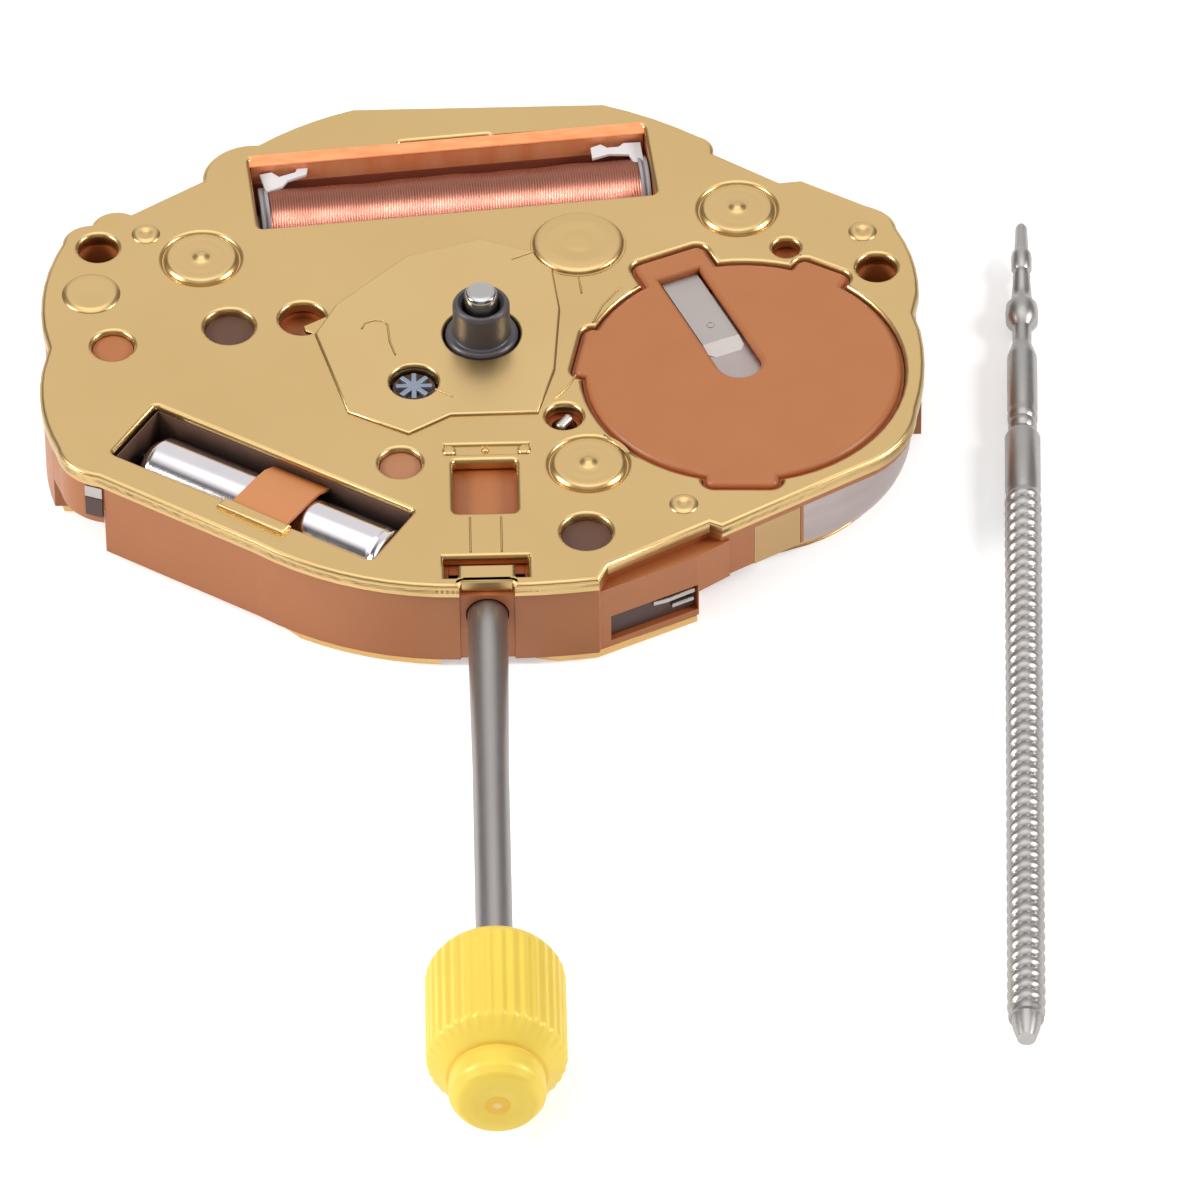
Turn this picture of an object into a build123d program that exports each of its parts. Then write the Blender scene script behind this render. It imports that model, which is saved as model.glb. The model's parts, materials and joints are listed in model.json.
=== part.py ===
"""Two-hand quartz watch movement, dial side up, with its setting stem and a loose spare stem."""
import os
from math import acos, atan2, cos, degrees, hypot, radians, sin, sqrt

from build123d import *

os.makedirs("parts", exist_ok=True)

# Outline and layers of the movement
HALF_WIDTH = 8.9
BACK_REACH = 7.0
FRONT_REACH = 7.35
PLATE_THICKNESS = 0.30
FRAME_HEIGHT = 1.75
COVER_THICKNESS = 0.20
FRAME_INSET = 0.05
COVER_INSET = 0.10
OVERRUN = 0.5
FIT_GAP = 0.01
RUN_GAP = 0.03
SEAT_GAP = 0.05
SHEET_GAP = 0.06

# Wheels of the train and the motion work
TOOTH_ADDENDUM_SHARE = 1.0
TOOTH_DEDENDUM_SHARE = 1.2
TOOTH_TIP_SHARE = 0.11
TOOTH_ROOT_SHARE = 0.30
ROTOR_MODULE = 0.060
ROTOR_LEAVES = 8
INTERMEDIATE_TEETH = 40
THIRD_MODULE = 0.075
INTERMEDIATE_LEAVES = 8
THIRD_TEETH = 36
CENTRE_MODULE = 0.090
THIRD_LEAVES = 8
CENTRE_TEETH = 32
MOTION_MODULE = 0.0821
CANNON_LEAVES = 12
MINUTE_TEETH = 36
HOUR_MODULE = 0.0985
MINUTE_LEAVES = 8
HOUR_TEETH = 32
SETTING_TEETH = 14
WHEEL_THICKNESS = 0.12
HOUR_WHEEL_THICKNESS = 0.14
WHEEL_WELL_GAP = 0.12
WEB_THICKNESS = 0.16
ARBOR_RADIUS = 0.12
PIVOT_RADIUS = 0.07
PIVOT_LENGTH = 0.10
MINUTE_POST_RADIUS = 0.34
MINUTE_SEAT_RADIUS = 0.31
MINUTE_SEAT_START = 0.93
MINUTE_POST_REACH = 1.20
CENTRE_ARBOR_RADIUS = 0.16
HOUR_TUBE_RADIUS = 0.58
HOUR_TUBE_REACH = 0.90
HOUR_HUB_RADIUS = 0.74
HOUR_HUB_REACH = 0.10
CENTRE_HOLE_RADIUS = 0.78

# Rotor, stator and coil
ROTOR_PLACE = (2.00, 2.67)
THIRD_ANGLE = 109.4
MAGNET_RADIUS = 0.52
MAGNET_HEIGHT = 0.36
STATOR_BORE_RADIUS = 0.64
STATOR_RING_RADIUS = 1.12
STATOR_THICKNESS = 0.26
STATOR_LEG_WIDTH = 0.66
COIL_MIDDLE = (-0.57, 4.83)
COIL_ANGLE = 5.7
COIL_RADIUS = 0.70
COIL_LENGTH = 7.20
COIL_FLANGE_THICKNESS = 0.25
COIL_FLANGE_RADIUS = 0.74
CORE_WIDTH = 0.60
CORE_THICKNESS = 0.28
CORE_LEFT_MARGIN = 1.15
CORE_RIGHT_MARGIN = 1.00
CORE_PAD_RADIUS = 0.40
LEFT_KNEE = (-4.95, 3.05)
RIGHT_KNEE = (4.00, 3.90)
COIL_SCREW_RADIUS = 0.15
COIL_SCREW_HEAD_RADIUS = 0.30
COIL_SCREW_HEAD_HEIGHT = 0.16
COIL_END_GAP = 0.225
COIL_WINDOW_WIDTH = 2.10
COIL_WINDOW_SHIFT = 0.03
COIL_STEP_LENGTH = 1.90
COIL_STEP_DEPTH = 0.14

# Cell and contacts
CELL_PLACE = (5.25, -1.20)
CELL_RADIUS = 3.40
CELL_THICKNESS = 1.65
CELL_CAP_RADIUS = 2.75
CELL_CAP_HEIGHT = 0.15
CELL_EDGE_RADIUS = 0.18
CELL_TOP_DEPTH = 0.24
CELL_GAP = 0.05
ROOF_RADIUS = 3.16
ROOF_TOP_DEPTH = 0.06
ROOF_SKIN = 0.09
OPENING_GAP = 0.10
CONTACT_WIDTH = 0.80
CONTACT_LENGTH = 2.72
CONTACT_ROOT = 0.45
CONTACT_THICKNESS = 0.07
CONTACT_ANGLE = -66.7
CONTACT_FOOT = (4.02, 1.76)
CONTACT_LEG_DEPTH = 1.40
SLOT_WIDTH = 0.96
SLOT_LENGTH = 3.40
CLAMP_WIDTH = 1.60
CLAMP_THICKNESS = 0.09
CLAMP_REACH = 4.00
CLAMP_TIP_REACH = 2.40

# Crystal
CRYSTAL_PLACE = (-4.435, -4.18)
CRYSTAL_ANGLE = -32.2
CRYSTAL_RADIUS = 0.75
CRYSTAL_LENGTH = 5.65
CRYSTAL_SHIFT = 0.12
CRYSTAL_DEPTH = 0.93
CRYSTAL_WINDOW_LENGTH = 6.10
CRYSTAL_WINDOW_WIDTH = 1.62
STRAP_WIDTH = 1.30
STRAP_SHIFT = 0.42
STRAP_TOP_DEPTH = 0.03
FLAP_WIDTH = 0.30
FLAP_HEIGHT = 0.14

# Setting work
STEM_DEPTH = 0.85
STEM_RADIUS = 0.40
STEM_OUTER_RADIUS = 0.36
STEM_TAPER_START = -8.40
STEM_TAPER_LENGTH = 3.20
STEM_NECK_RADIUS = 0.22
STEM_SQUARE_WIDTH = 0.26
STEM_START = -3.72
STEM_GROOVE_PLACE = -6.02
STEM_GROOVE_WIDTH = 0.30
CROWN_START = -17.05
CROWN_END = -20.80
CROWN_RADIUS = 1.38
CROWN_BOSS_RADIUS = 0.96
CROWN_BOSS_LENGTH = 0.80
CROWN_FLUTES = 36
CROWN_FLUTE_DEPTH = 0.07
CROWN_BORE_DEPTH = 3.00
SLIDING_PINION_START = -3.92
SLIDING_PINION_LENGTH = 1.10
SLIDING_PINION_RADIUS = 0.42
SLIDING_PINION_GROOVE = 0.30
SLIDING_PINION_NECK_RADIUS = 0.24
SLIDING_PINION_COLLAR = 0.09
SLIDING_PINION_TEETH = 10
SLIDING_PINION_TOOTH_DEPTH = 0.14
YOKE_PIVOT = (-1.68, -3.72)
YOKE_TIP_X = -0.46
YOKE_THICKNESS = 0.14
YOKE_ARM_WIDTH = 0.18
YOKE_HEAD_RADIUS = 0.42
POST_RADIUS = 0.14
STOP_PIVOT = (1.15, -3.45)
STOP_TIP = (1.12, -1.42)
STOP_TAB = (1.62, -2.45)
STOP_TAIL = (1.05, -4.75)
STOP_WIDTH = 0.20
STOP_TRENCH_WIDTH = 0.68
STOP_TRENCH_OFFSET = 0.62
SLIDE_WIDTH = 1.40
SLIDE_FRONT = -6.15
SLIDE_BACK = -3.75
SLIDE_THICKNESS = 0.09
KEYLESS_HALF_WIDTH = 0.76
KEYLESS_FRONT_WALL = 0.43
KEYLESS_BACK = -3.05
KEYLESS_SIDE_REACH = 1.45
KEYLESS_SIDE_LENGTH = 1.95

# Pillars, screws and plate marks
PILLAR_PLACES = ((-5.67, 2.47), (5.27, 3.65), (2.08, -3.87))
PILLAR_RADIUS = 0.42
PILLAR_BORE_RADIUS = 0.22
PILLAR_HEAD_RADIUS = 0.72
PILLAR_POCKET_RADIUS = 0.79
PILLAR_POCKET_DEPTH = 0.16
SCREW_HEAD_RADIUS = 0.55
SCREW_HEAD_HEIGHT = 0.16
SCREW_SLOT_WIDTH = 0.12
SCREW_LENGTH = 0.90
FOOT_HOLES = ((-7.77, 2.87), (8.05, 1.80))
FOOT_HOLE_RADIUS = 0.40
DARK_HOLES = ((-5.10, 0.42), (2.00, -5.83))
DARK_HOLE_RADIUS = 0.50
PEG_HOLES = ((-7.45, -0.08), (-1.68, -3.72))
PEG_HOLE_RADIUS = 0.42
LEVER_HOLE = (-3.62, 0.62)
LEVER_HOLE_RADIUS = 0.46
SMALL_HOLE = (6.23, 2.45)
SMALL_HOLE_RADIUS = 0.27
TAB_HOLE_RADIUS = 0.36
BUMP_PLACES = ((-6.80, 3.25), (7.80, 2.88), (3.95, -5.10))
BUMP_RADIUS = 0.30
BUMP_HEIGHT = 0.05
DISC_PLACE = (-7.90, 1.47)
DISC_RADIUS = 0.60
BEARING_CAP_RADIUS = 0.93
BEARING_CAP_HEIGHT = 0.10
PANEL_HEIGHT = 0.04
BRIDGE_THICKNESS = 0.20
BOARD_THICKNESS = 0.12
CHIP_PLACE = (-4.75, -0.75)
CHIP_SIZE = (1.60, 1.40)
CHIP_HEIGHT = 0.40

# Side pieces
CLIP_THICKNESS = 0.16
CLIP_HEIGHT = 1.00
SPACER_WIDTH = 1.08
SPACER_HEIGHT = 1.00
SPACER_DEPTH = 0.50
SPACER_TOP_DEPTH = 0.46
SPACER_PLACE_SHARE = 0.36
SPRING_STRIP_THICKNESS = 0.10

# Spare stem lying beside the movement
SPARE_START = (11.16, 5.05)
SPARE_TILT = -2.36
SPARE_THREAD_RADIUS = 0.375
SPARE_SECTIONS = (
    (0.89, 0.125, 0.160), (0.55, 0.205, 0.205), (0.95, 0.190, 0.235), (0.76, 0.335, 0.335),
    (0.57, 0.195, 0.195), (1.98, 0.310, 0.310), (0.60, 0.285, 0.285), (1.78, 0.365, 0.365),
)
SPARE_THREAD_LENGTH = 14.75
SPARE_TIP_LENGTH = 0.55

# Heights of the layers, worked down from the face of the dial plate
frame_top = -PLATE_THICKNESS
frame_bottom = frame_top - FRAME_HEIGHT
back_face = frame_bottom - COVER_THICKNESS
hour_top = frame_top - SHEET_GAP
hour_bottom = hour_top - HOUR_WHEEL_THICKNESS
minute_top = hour_bottom - SHEET_GAP
minute_bottom = minute_top - WHEEL_THICKNESS
well_floor = minute_bottom - SHEET_GAP
web_bottom = well_floor - WEB_THICKNESS
third_top = web_bottom - SHEET_GAP
third_bottom = third_top - WHEEL_THICKNESS
stator_top = third_bottom - SHEET_GAP - SEAT_GAP
stator_bottom = stator_top - STATOR_THICKNESS
centre_top = stator_top - SEAT_GAP
centre_bottom = centre_top - WHEEL_THICKNESS
intermediate_top = stator_bottom - SHEET_GAP
intermediate_bottom = intermediate_top - WHEEL_THICKNESS
bridge_top = frame_bottom + BRIDGE_THICKNESS
coil_height = stator_top + CORE_THICKNESS / 2
coil_floor = coil_height - COIL_RADIUS - SHEET_GAP
stem_height = -STEM_DEPTH
keyless_front = KEYLESS_FRONT_WALL - FRONT_REACH
keyless_floor = centre_bottom - SEAT_GAP
cell_top = -CELL_TOP_DEPTH
cell_bottom = cell_top - CELL_THICKNESS
crystal_height = -CRYSTAL_DEPTH
coil_window_length = COIL_LENGTH + 2 * (COIL_FLANGE_THICKNESS + COIL_END_GAP)
core_left_reach = COIL_LENGTH / 2 + CORE_LEFT_MARGIN
core_right_reach = COIL_LENGTH / 2 + CORE_RIGHT_MARGIN
board_top = frame_bottom + BOARD_THICKNESS


def polar(origin, distance, angle):
    """Point at a distance and an angle in degrees from an origin."""
    return (origin[0] + distance * cos(radians(angle)), origin[1] + distance * sin(radians(angle)))


def bearing(start, end):
    """Angle in degrees from one point to another."""
    return degrees(atan2(end[1] - start[1], end[0] - start[0]))


def span(start, end):
    """Distance from one point to another."""
    return hypot(end[0] - start[0], end[1] - start[1])


def pair_distance(module, first, second):
    """Centre distance of two meshing wheels."""
    return module * (first + second) / 2


# Places of the arbors, from the centre distances of the meshing pairs
CENTRE = (0, 0)
third_place = polar(CENTRE, pair_distance(CENTRE_MODULE, THIRD_LEAVES, CENTRE_TEETH), THIRD_ANGLE)
rotor_to_intermediate = pair_distance(ROTOR_MODULE, ROTOR_LEAVES, INTERMEDIATE_TEETH)
third_to_intermediate = pair_distance(THIRD_MODULE, INTERMEDIATE_LEAVES, THIRD_TEETH)
third_to_rotor = span(third_place, ROTOR_PLACE)
intermediate_swing = degrees(
    acos(
        (third_to_intermediate**2 + third_to_rotor**2 - rotor_to_intermediate**2)
        / (2 * third_to_intermediate * third_to_rotor)
    )
)
intermediate_place = polar(
    third_place, third_to_intermediate, bearing(third_place, ROTOR_PLACE) - intermediate_swing
)
MINUTE_ANGLE = 225.4
minute_place = polar(CENTRE, pair_distance(MOTION_MODULE, CANNON_LEAVES, MINUTE_TEETH), MINUTE_ANGLE)
minute_to_setting = pair_distance(MOTION_MODULE, MINUTE_TEETH, SETTING_TEETH)
setting_place = (0, minute_place[1] - sqrt(minute_to_setting**2 - minute_place[0] ** 2))


def outer_radius(teeth, module):
    """Radius over the tips of a wheel."""
    return teeth * module / 2 + module * TOOTH_ADDENDUM_SHARE


def meshed_phase(place, teeth, phase, next_place, next_teeth):
    """Angle of a tooth on the next wheel that leaves a gap where the first wheel has a tooth."""
    line = bearing(place, next_place)
    pitch = 360 / teeth
    part = ((line - phase) % pitch) / pitch
    return line + 180 + (part + 0.5) * 360 / next_teeth


# Tooth phases along the train
rotor_phase = 0
intermediate_phase = meshed_phase(
    ROTOR_PLACE, ROTOR_LEAVES, rotor_phase, intermediate_place, INTERMEDIATE_TEETH
)
third_phase = meshed_phase(intermediate_place, INTERMEDIATE_LEAVES, 0, third_place, THIRD_TEETH)
centre_phase = meshed_phase(third_place, THIRD_LEAVES, 0, CENTRE, CENTRE_TEETH)
minute_phase = meshed_phase(CENTRE, CANNON_LEAVES, 0, minute_place, MINUTE_TEETH)
hour_phase = meshed_phase(minute_place, MINUTE_LEAVES, 0, CENTRE, HOUR_TEETH)
setting_phase = meshed_phase(minute_place, MINUTE_TEETH, minute_phase, setting_place, SETTING_TEETH)


def save(piece, name):
    """Label a finished piece and write it."""
    piece.part.label = name
    export_step(piece.part, f"parts/{name}.step")


def level(height):
    """Horizontal plane at a height."""
    return Plane.XY.offset(height)


def toothed(place, teeth, module, phase):
    """Sketch face of a wheel with tapered teeth."""
    pitch = 360 / teeth
    tip = outer_radius(teeth, module)
    root = teeth * module / 2 - module * TOOTH_DEDENDUM_SHARE
    points = []
    for index in range(teeth):
        middle = phase + index * pitch
        points.append(polar(place, root, middle - TOOTH_ROOT_SHARE * pitch))
        points.append(polar(place, tip, middle - TOOTH_TIP_SHARE * pitch))
        points.append(polar(place, tip, middle + TOOTH_TIP_SHARE * pitch))
        points.append(polar(place, root, middle + TOOTH_ROOT_SHARE * pitch))
    with BuildLine() as border:
        Polyline(*points, close=True)
    make_face(border.edges())


# The dial plate's outline, clockwise from the back edge. Each step is a straight line to a point,
# or an arc through one point to another. Points are shares of the half width and of the reach.
OUTLINE_START_SHARES = (-0.287, 1.000)
OUTLINE_STEP_SHARES = (
    (0.292, 1.000),
    (0.404, 0.936, 0.511, 0.850),
    (0.538, 0.818, 0.542, 0.771),
    (0.691, 0.639),
    (0.742, 0.646),
    (0.888, 0.531),
    (0.910, 0.517),
    (0.938, 0.486, 0.955, 0.429),
    (0.992, 0.271, 0.997, 0.143),
    (0.983, 0.057),
    (0.996, -0.014),
    (1.000, -0.163, 0.978, -0.327),
    (0.950, -0.440, 0.885, -0.530),
    (0.528, -0.786),
    (0.500, -0.768),
    (0.270, -0.925),
    (0.250, -0.984),
    (0.135, -0.997, 0.062, -1.000),
    (0.056, -0.978),
    (-0.056, -0.978),
    (-0.062, -1.000),
    (-0.292, -0.955, -0.517, -0.810),
    (-0.865, -0.537),
    (-0.938, -0.480, -0.961, -0.415),
    (-1.000, -0.218, -0.998, -0.109),
    (-0.983, -0.014),
    (-0.997, 0.071),
    (-0.994, 0.271, -0.955, 0.436),
    (-0.935, 0.493, -0.899, 0.514),
    (-0.888, 0.516),
    (-0.843, 0.569, -0.798, 0.557),
    (-0.635, 0.696),
    (-0.630, 0.746, -0.506, 0.852),
    (-0.393, 0.944, -0.287, 1.000),
)


def outline_point(across, along, inset=0):
    """Real point of an outline share, drawn in by an inset."""
    reach = BACK_REACH if along > 0 else FRONT_REACH
    return (across * (HALF_WIDTH - inset), along * (reach - inset))


def plate_outline(inset=0):
    """Sketch face of the shaped outline, drawn in by an inset."""
    with BuildLine() as border:
        here = outline_point(*OUTLINE_START_SHARES, inset)
        for step in OUTLINE_STEP_SHARES:
            target = outline_point(*step[-2:], inset)
            if len(step) == 2:
                Line(here, target)
            else:
                ThreePointArc(here, outline_point(*step[:2], inset), target)
            here = target
    make_face(border.edges())


def strip(start, end, width):
    """Sketch face of a round-ended strip from one point to another."""
    middle = ((start[0] + end[0]) / 2, (start[1] + end[1]) / 2)
    with Locations(Location(middle, bearing(start, end))):
        SlotCenterToCenter(span(start, end), width)


def along_coil(distance, side=0):
    """Point at a distance along the coil's axis and to its side."""
    return polar(polar(COIL_MIDDLE, distance, COIL_ANGLE), side, COIL_ANGLE + 90)


def along_crystal(distance, side=0):
    """Point at a distance along the crystal's axis and to its side."""
    return polar(polar(CRYSTAL_PLACE, distance, CRYSTAL_ANGLE), side, CRYSTAL_ANGLE + 90)


def along_contact(distance, side=0):
    """Point at a distance along the contact's slot and to its side, in half widths."""
    return polar(polar(CONTACT_FOOT, distance, CONTACT_ANGLE), side * CONTACT_WIDTH / 2, CONTACT_ANGLE + 90)


def round_pocket(places, radius, top, depth):
    """Cut a round pocket or hole down from a height at each place."""
    with BuildSketch(level(top)) as shape:
        with Locations(*places):
            Circle(radius)
    extrude(shape.sketch, amount=-depth, mode=Mode.SUBTRACT)


def round_boss(places, radius, bottom, height):
    """Add a round boss up from a height at each place."""
    with BuildSketch(level(bottom)) as shape:
        with Locations(*places):
            Circle(radius)
    extrude(shape.sketch, amount=height)


def stem_turned(plane, sections):
    """Revolve sections, each with a start, an end and two radii, about a plane's own Y line."""
    with BuildSketch(plane) as shape:
        for start, end, start_radius, end_radius in sections:
            with BuildLine() as border:
                Polyline((0, start), (start_radius, start), (end_radius, end), (0, end), close=True)
            make_face(border.edges())
    revolve(shape.sketch, axis=Axis(plane.origin, plane.y_dir))


# Lobes of the cell opening, as places on its rim and widths
LOBE_ANGLES = (60.0, 268.0, 168.5)
LOBE_WIDTHS = (1.25, 1.60, 1.56)
LOBE_REACHES = (3.58, 3.47, 3.42)
LOBE_ROUNDING = 0.25
CONTACT_LOBE_WIDTH = 1.67
CONTACT_LOBE_REACH = 0.65


def cell_opening(gap):
    """Sketch face of the cell opening with its lobes, shrunk by a gap."""
    with Locations(CELL_PLACE):
        Circle(ROOF_RADIUS + OPENING_GAP - gap)
    for angle, width, reach in zip(LOBE_ANGLES, LOBE_WIDTHS, LOBE_REACHES):
        with Locations(Location(polar(CELL_PLACE, (reach - gap) / 2, angle), angle)):
            RectangleRounded(reach - gap, width - 2 * gap, LOBE_ROUNDING - gap)
    lobe_end = SLOT_LENGTH / 2
    lobe_start = gap - CONTACT_LOBE_REACH
    with Locations(Location(along_contact((lobe_start + lobe_end) / 2), CONTACT_ANGLE)):
        RectangleRounded(lobe_end - lobe_start, CONTACT_LOBE_WIDTH - 2 * gap, LOBE_ROUNDING - gap)


# Cover plate on the dial side
PANEL_SHARES = (
    (-0.379, 0.014), (-0.306, -0.306), (-0.169, -0.399), (-0.073, -0.327), (0.124, -0.324),
    (0.165, -0.150), (0.180, 0.100), (0.160, 0.330), (0.000, 0.410), (-0.170, 0.340), (-0.330, 0.140),
)
WINDOW_CENTRE = (0, -4.45)
WINDOW_SIZE = (1.26, 1.50)
CHANNEL_CENTRE = (0, -5.80)
CHANNEL_SIZE = (0.70, 1.15)
CHANNEL_DEPTH = 0.08
LEDGE_CENTRE = (0.05, -3.45)
LEDGE_SIZE = (1.60, 0.38)
LEDGE_DEPTH = 0.12
TEE_CENTRE = (-0.02, -6.58)
TEE_SIZE = (1.66, 0.22)
TEE_LEG_SIZE = (0.26, 0.50)

with BuildPart() as dial_plate:
    with BuildSketch(level(frame_top)):
        plate_outline()
    extrude(amount=PLATE_THICKNESS)
    with BuildSketch(level(0)):
        with BuildLine():
            Polyline(*[outline_point(*share) for share in PANEL_SHARES], close=True)
        make_face()
    extrude(amount=PANEL_HEIGHT)
    round_boss([ROTOR_PLACE], BEARING_CAP_RADIUS, 0, BEARING_CAP_HEIGHT)
    round_boss([DISC_PLACE], DISC_RADIUS, 0, BUMP_HEIGHT)
    round_boss(BUMP_PLACES, BUMP_RADIUS, 0, BUMP_HEIGHT)
    with BuildSketch(level(0)):
        strip(
            along_crystal(STRAP_SHIFT - STRAP_WIDTH / 2, -CRYSTAL_WINDOW_WIDTH / 2 - FLAP_WIDTH),
            along_crystal(STRAP_SHIFT + STRAP_WIDTH / 2, -CRYSTAL_WINDOW_WIDTH / 2 - FLAP_WIDTH),
            FLAP_WIDTH,
        )
    extrude(amount=FLAP_HEIGHT)
    round_pocket(PILLAR_PLACES, PILLAR_POCKET_RADIUS, 0, PILLAR_POCKET_DEPTH)
    with BuildSketch(level(0)):
        with Locations(Location(along_coil(COIL_WINDOW_SHIFT), COIL_ANGLE)):
            Rectangle(coil_window_length, COIL_WINDOW_WIDTH)
        with Locations(Location(along_coil(0, COIL_WINDOW_WIDTH / 2), COIL_ANGLE)):
            Rectangle(COIL_STEP_LENGTH, 2 * COIL_STEP_DEPTH)
        with Locations(Location(CRYSTAL_PLACE, CRYSTAL_ANGLE)):
            Rectangle(CRYSTAL_WINDOW_LENGTH, CRYSTAL_WINDOW_WIDTH)
        with Locations(WINDOW_CENTRE):
            Rectangle(*WINDOW_SIZE)
        with Locations(TEE_CENTRE):
            Rectangle(*TEE_SIZE)
        for side in (-1, 1):
            with Locations((side * (TEE_SIZE[0] - TEE_LEG_SIZE[0]) / 2, TEE_CENTRE[1] - TEE_SIZE[1])):
                Rectangle(*TEE_LEG_SIZE)
        cell_opening(0)
    extrude(amount=-PLATE_THICKNESS - OVERRUN, mode=Mode.SUBTRACT)
    with BuildSketch(level(0)):
        with Locations(CHANNEL_CENTRE):
            Rectangle(*CHANNEL_SIZE)
    extrude(amount=-CHANNEL_DEPTH, mode=Mode.SUBTRACT)
    with BuildSketch(level(0)):
        with Locations(LEDGE_CENTRE):
            Rectangle(*LEDGE_SIZE)
    extrude(amount=-LEDGE_DEPTH, mode=Mode.SUBTRACT)
    through = PLATE_THICKNESS + 2 * OVERRUN
    round_pocket([CENTRE], CENTRE_HOLE_RADIUS, OVERRUN, through)
    round_pocket(FOOT_HOLES, FOOT_HOLE_RADIUS, OVERRUN, through)
    round_pocket(DARK_HOLES, DARK_HOLE_RADIUS, OVERRUN, through)
    round_pocket(PEG_HOLES, PEG_HOLE_RADIUS, OVERRUN, through)
    round_pocket([LEVER_HOLE], LEVER_HOLE_RADIUS, OVERRUN, through)
    round_pocket([SMALL_HOLE], SMALL_HOLE_RADIUS, OVERRUN, through)
    round_pocket([STOP_TAB], TAB_HOLE_RADIUS, OVERRUN, through)
    round_pocket([minute_place], outer_radius(MINUTE_LEAVES, HOUR_MODULE), OVERRUN, through)
    round_pocket(PILLAR_PLACES, PILLAR_RADIUS + FIT_GAP, OVERRUN, through)
save(dial_plate, "dial_plate")

# Places and sizes that the frame's hollows share
PEG_TOP_DEPTH = 0.12
CORNER_NOTCH_REACH = 1.28
CORNER_NOTCH_Y = -2.60
CELL_SIDE_REACH = 2.55
CELL_SIDE_Y = -1.00
CELL_SIDE_TOP_DEPTH = 0.45
FRONT_RIGHT_X = 4.22
FRONT_RIGHT_Y = -4.30
FRONT_RIGHT_LIFT = 0.62
BULGE_SHARES = ((0.247, -0.970), (0.470, -0.838), (0.545, -0.775), (0.490, -0.700), (0.240, -0.870))
BULGE_TOP_DEPTH = 0.45
WALL_SLOT_SHARES = (0.3652, -0.8735)
WALL_SLOT_ANGLE = 26.0
WALL_SLOT_SIZE = (1.95, 0.90)
WALL_SLOT_BOTTOM_LIFT = 0.16
WALL_SLOT_HEIGHT = 0.66
BRIDGE_MARGIN = 0.34
BOARD_SHARES = (
    (-0.925, -0.330), (-0.925, 0.300), (-0.740, 0.440), (-0.440, 0.440), (-0.365, 0.100),
    (-0.365, -0.360), (-0.560, -0.360), (-0.740, -0.260),
)
STRAP_LEG_DEPTH = 1.00
frame_depth = FRAME_HEIGHT + 2 * OVERRUN
corner_notch_x = CORNER_NOTCH_REACH - HALF_WIDTH
cell_side_x = HALF_WIDTH - CELL_SIDE_REACH
cell_bay_top = cell_top - CELL_CAP_HEIGHT + CELL_GAP / 2
wall_slot_bottom = frame_bottom + WALL_SLOT_BOTTOM_LIFT
wall_slot_place = outline_point(*WALL_SLOT_SHARES)
spacer_corners = (outline_point(0.528, -0.786), outline_point(0.885, -0.530))
spacer_angle = bearing(*spacer_corners)
spacer_edge = polar(spacer_corners[0], SPACER_PLACE_SHARE * span(*spacer_corners), spacer_angle)
spacer_place = polar(spacer_edge, FRAME_INSET + SPACER_DEPTH / 2, spacer_angle + 90)
stop_trench_start = polar(STOP_PIVOT, STOP_TRENCH_OFFSET, bearing(STOP_PIVOT, STOP_TIP))
bridge_radii = (
    (CENTRE, outer_radius(CENTRE_TEETH, CENTRE_MODULE)),
    (third_place, outer_radius(THIRD_TEETH, THIRD_MODULE)),
    (intermediate_place, outer_radius(INTERMEDIATE_TEETH, ROTOR_MODULE)),
)
arbor_places = (third_place, intermediate_place, ROTOR_PLACE)
core_pads = (along_coil(-core_left_reach), along_coil(core_right_reach))
pinion_groove_back = SLIDING_PINION_START - SLIDING_PINION_TOOTH_DEPTH - SLIDING_PINION_COLLAR
pinion_groove_front = pinion_groove_back - SLIDING_PINION_GROOVE
yoke_tip = (YOKE_TIP_X, (pinion_groove_back + pinion_groove_front) / 2)


def train_bridge_outline(gap):
    """Sketch face of the bridge over the train."""
    for place, radius in bridge_radii:
        with Locations(place):
            Circle(radius + BRIDGE_MARGIN + gap)
    with Locations(ROTOR_PLACE):
        Circle(STATOR_BORE_RADIUS + BRIDGE_MARGIN + gap)


def board_outline(gap):
    """Sketch face of the circuit board."""
    with BuildLine() as border:
        Polyline(*[outline_point(*share) for share in BOARD_SHARES], close=True)
    make_face(border.edges())
    if gap:
        offset(amount=gap, kind=Kind.INTERSECTION)


def stator_outline(gap):
    """Sketch face of the stator's legs, pads and ring."""
    width = STATOR_LEG_WIDTH + 2 * gap
    strip(core_pads[0], LEFT_KNEE, width)
    strip(LEFT_KNEE, ROTOR_PLACE, width)
    strip(ROTOR_PLACE, RIGHT_KNEE, width)
    strip(RIGHT_KNEE, core_pads[1], width)
    with Locations(ROTOR_PLACE):
        Circle(STATOR_RING_RADIUS + gap)
    with Locations(*core_pads):
        Circle(CORE_PAD_RADIUS + gap)


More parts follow.
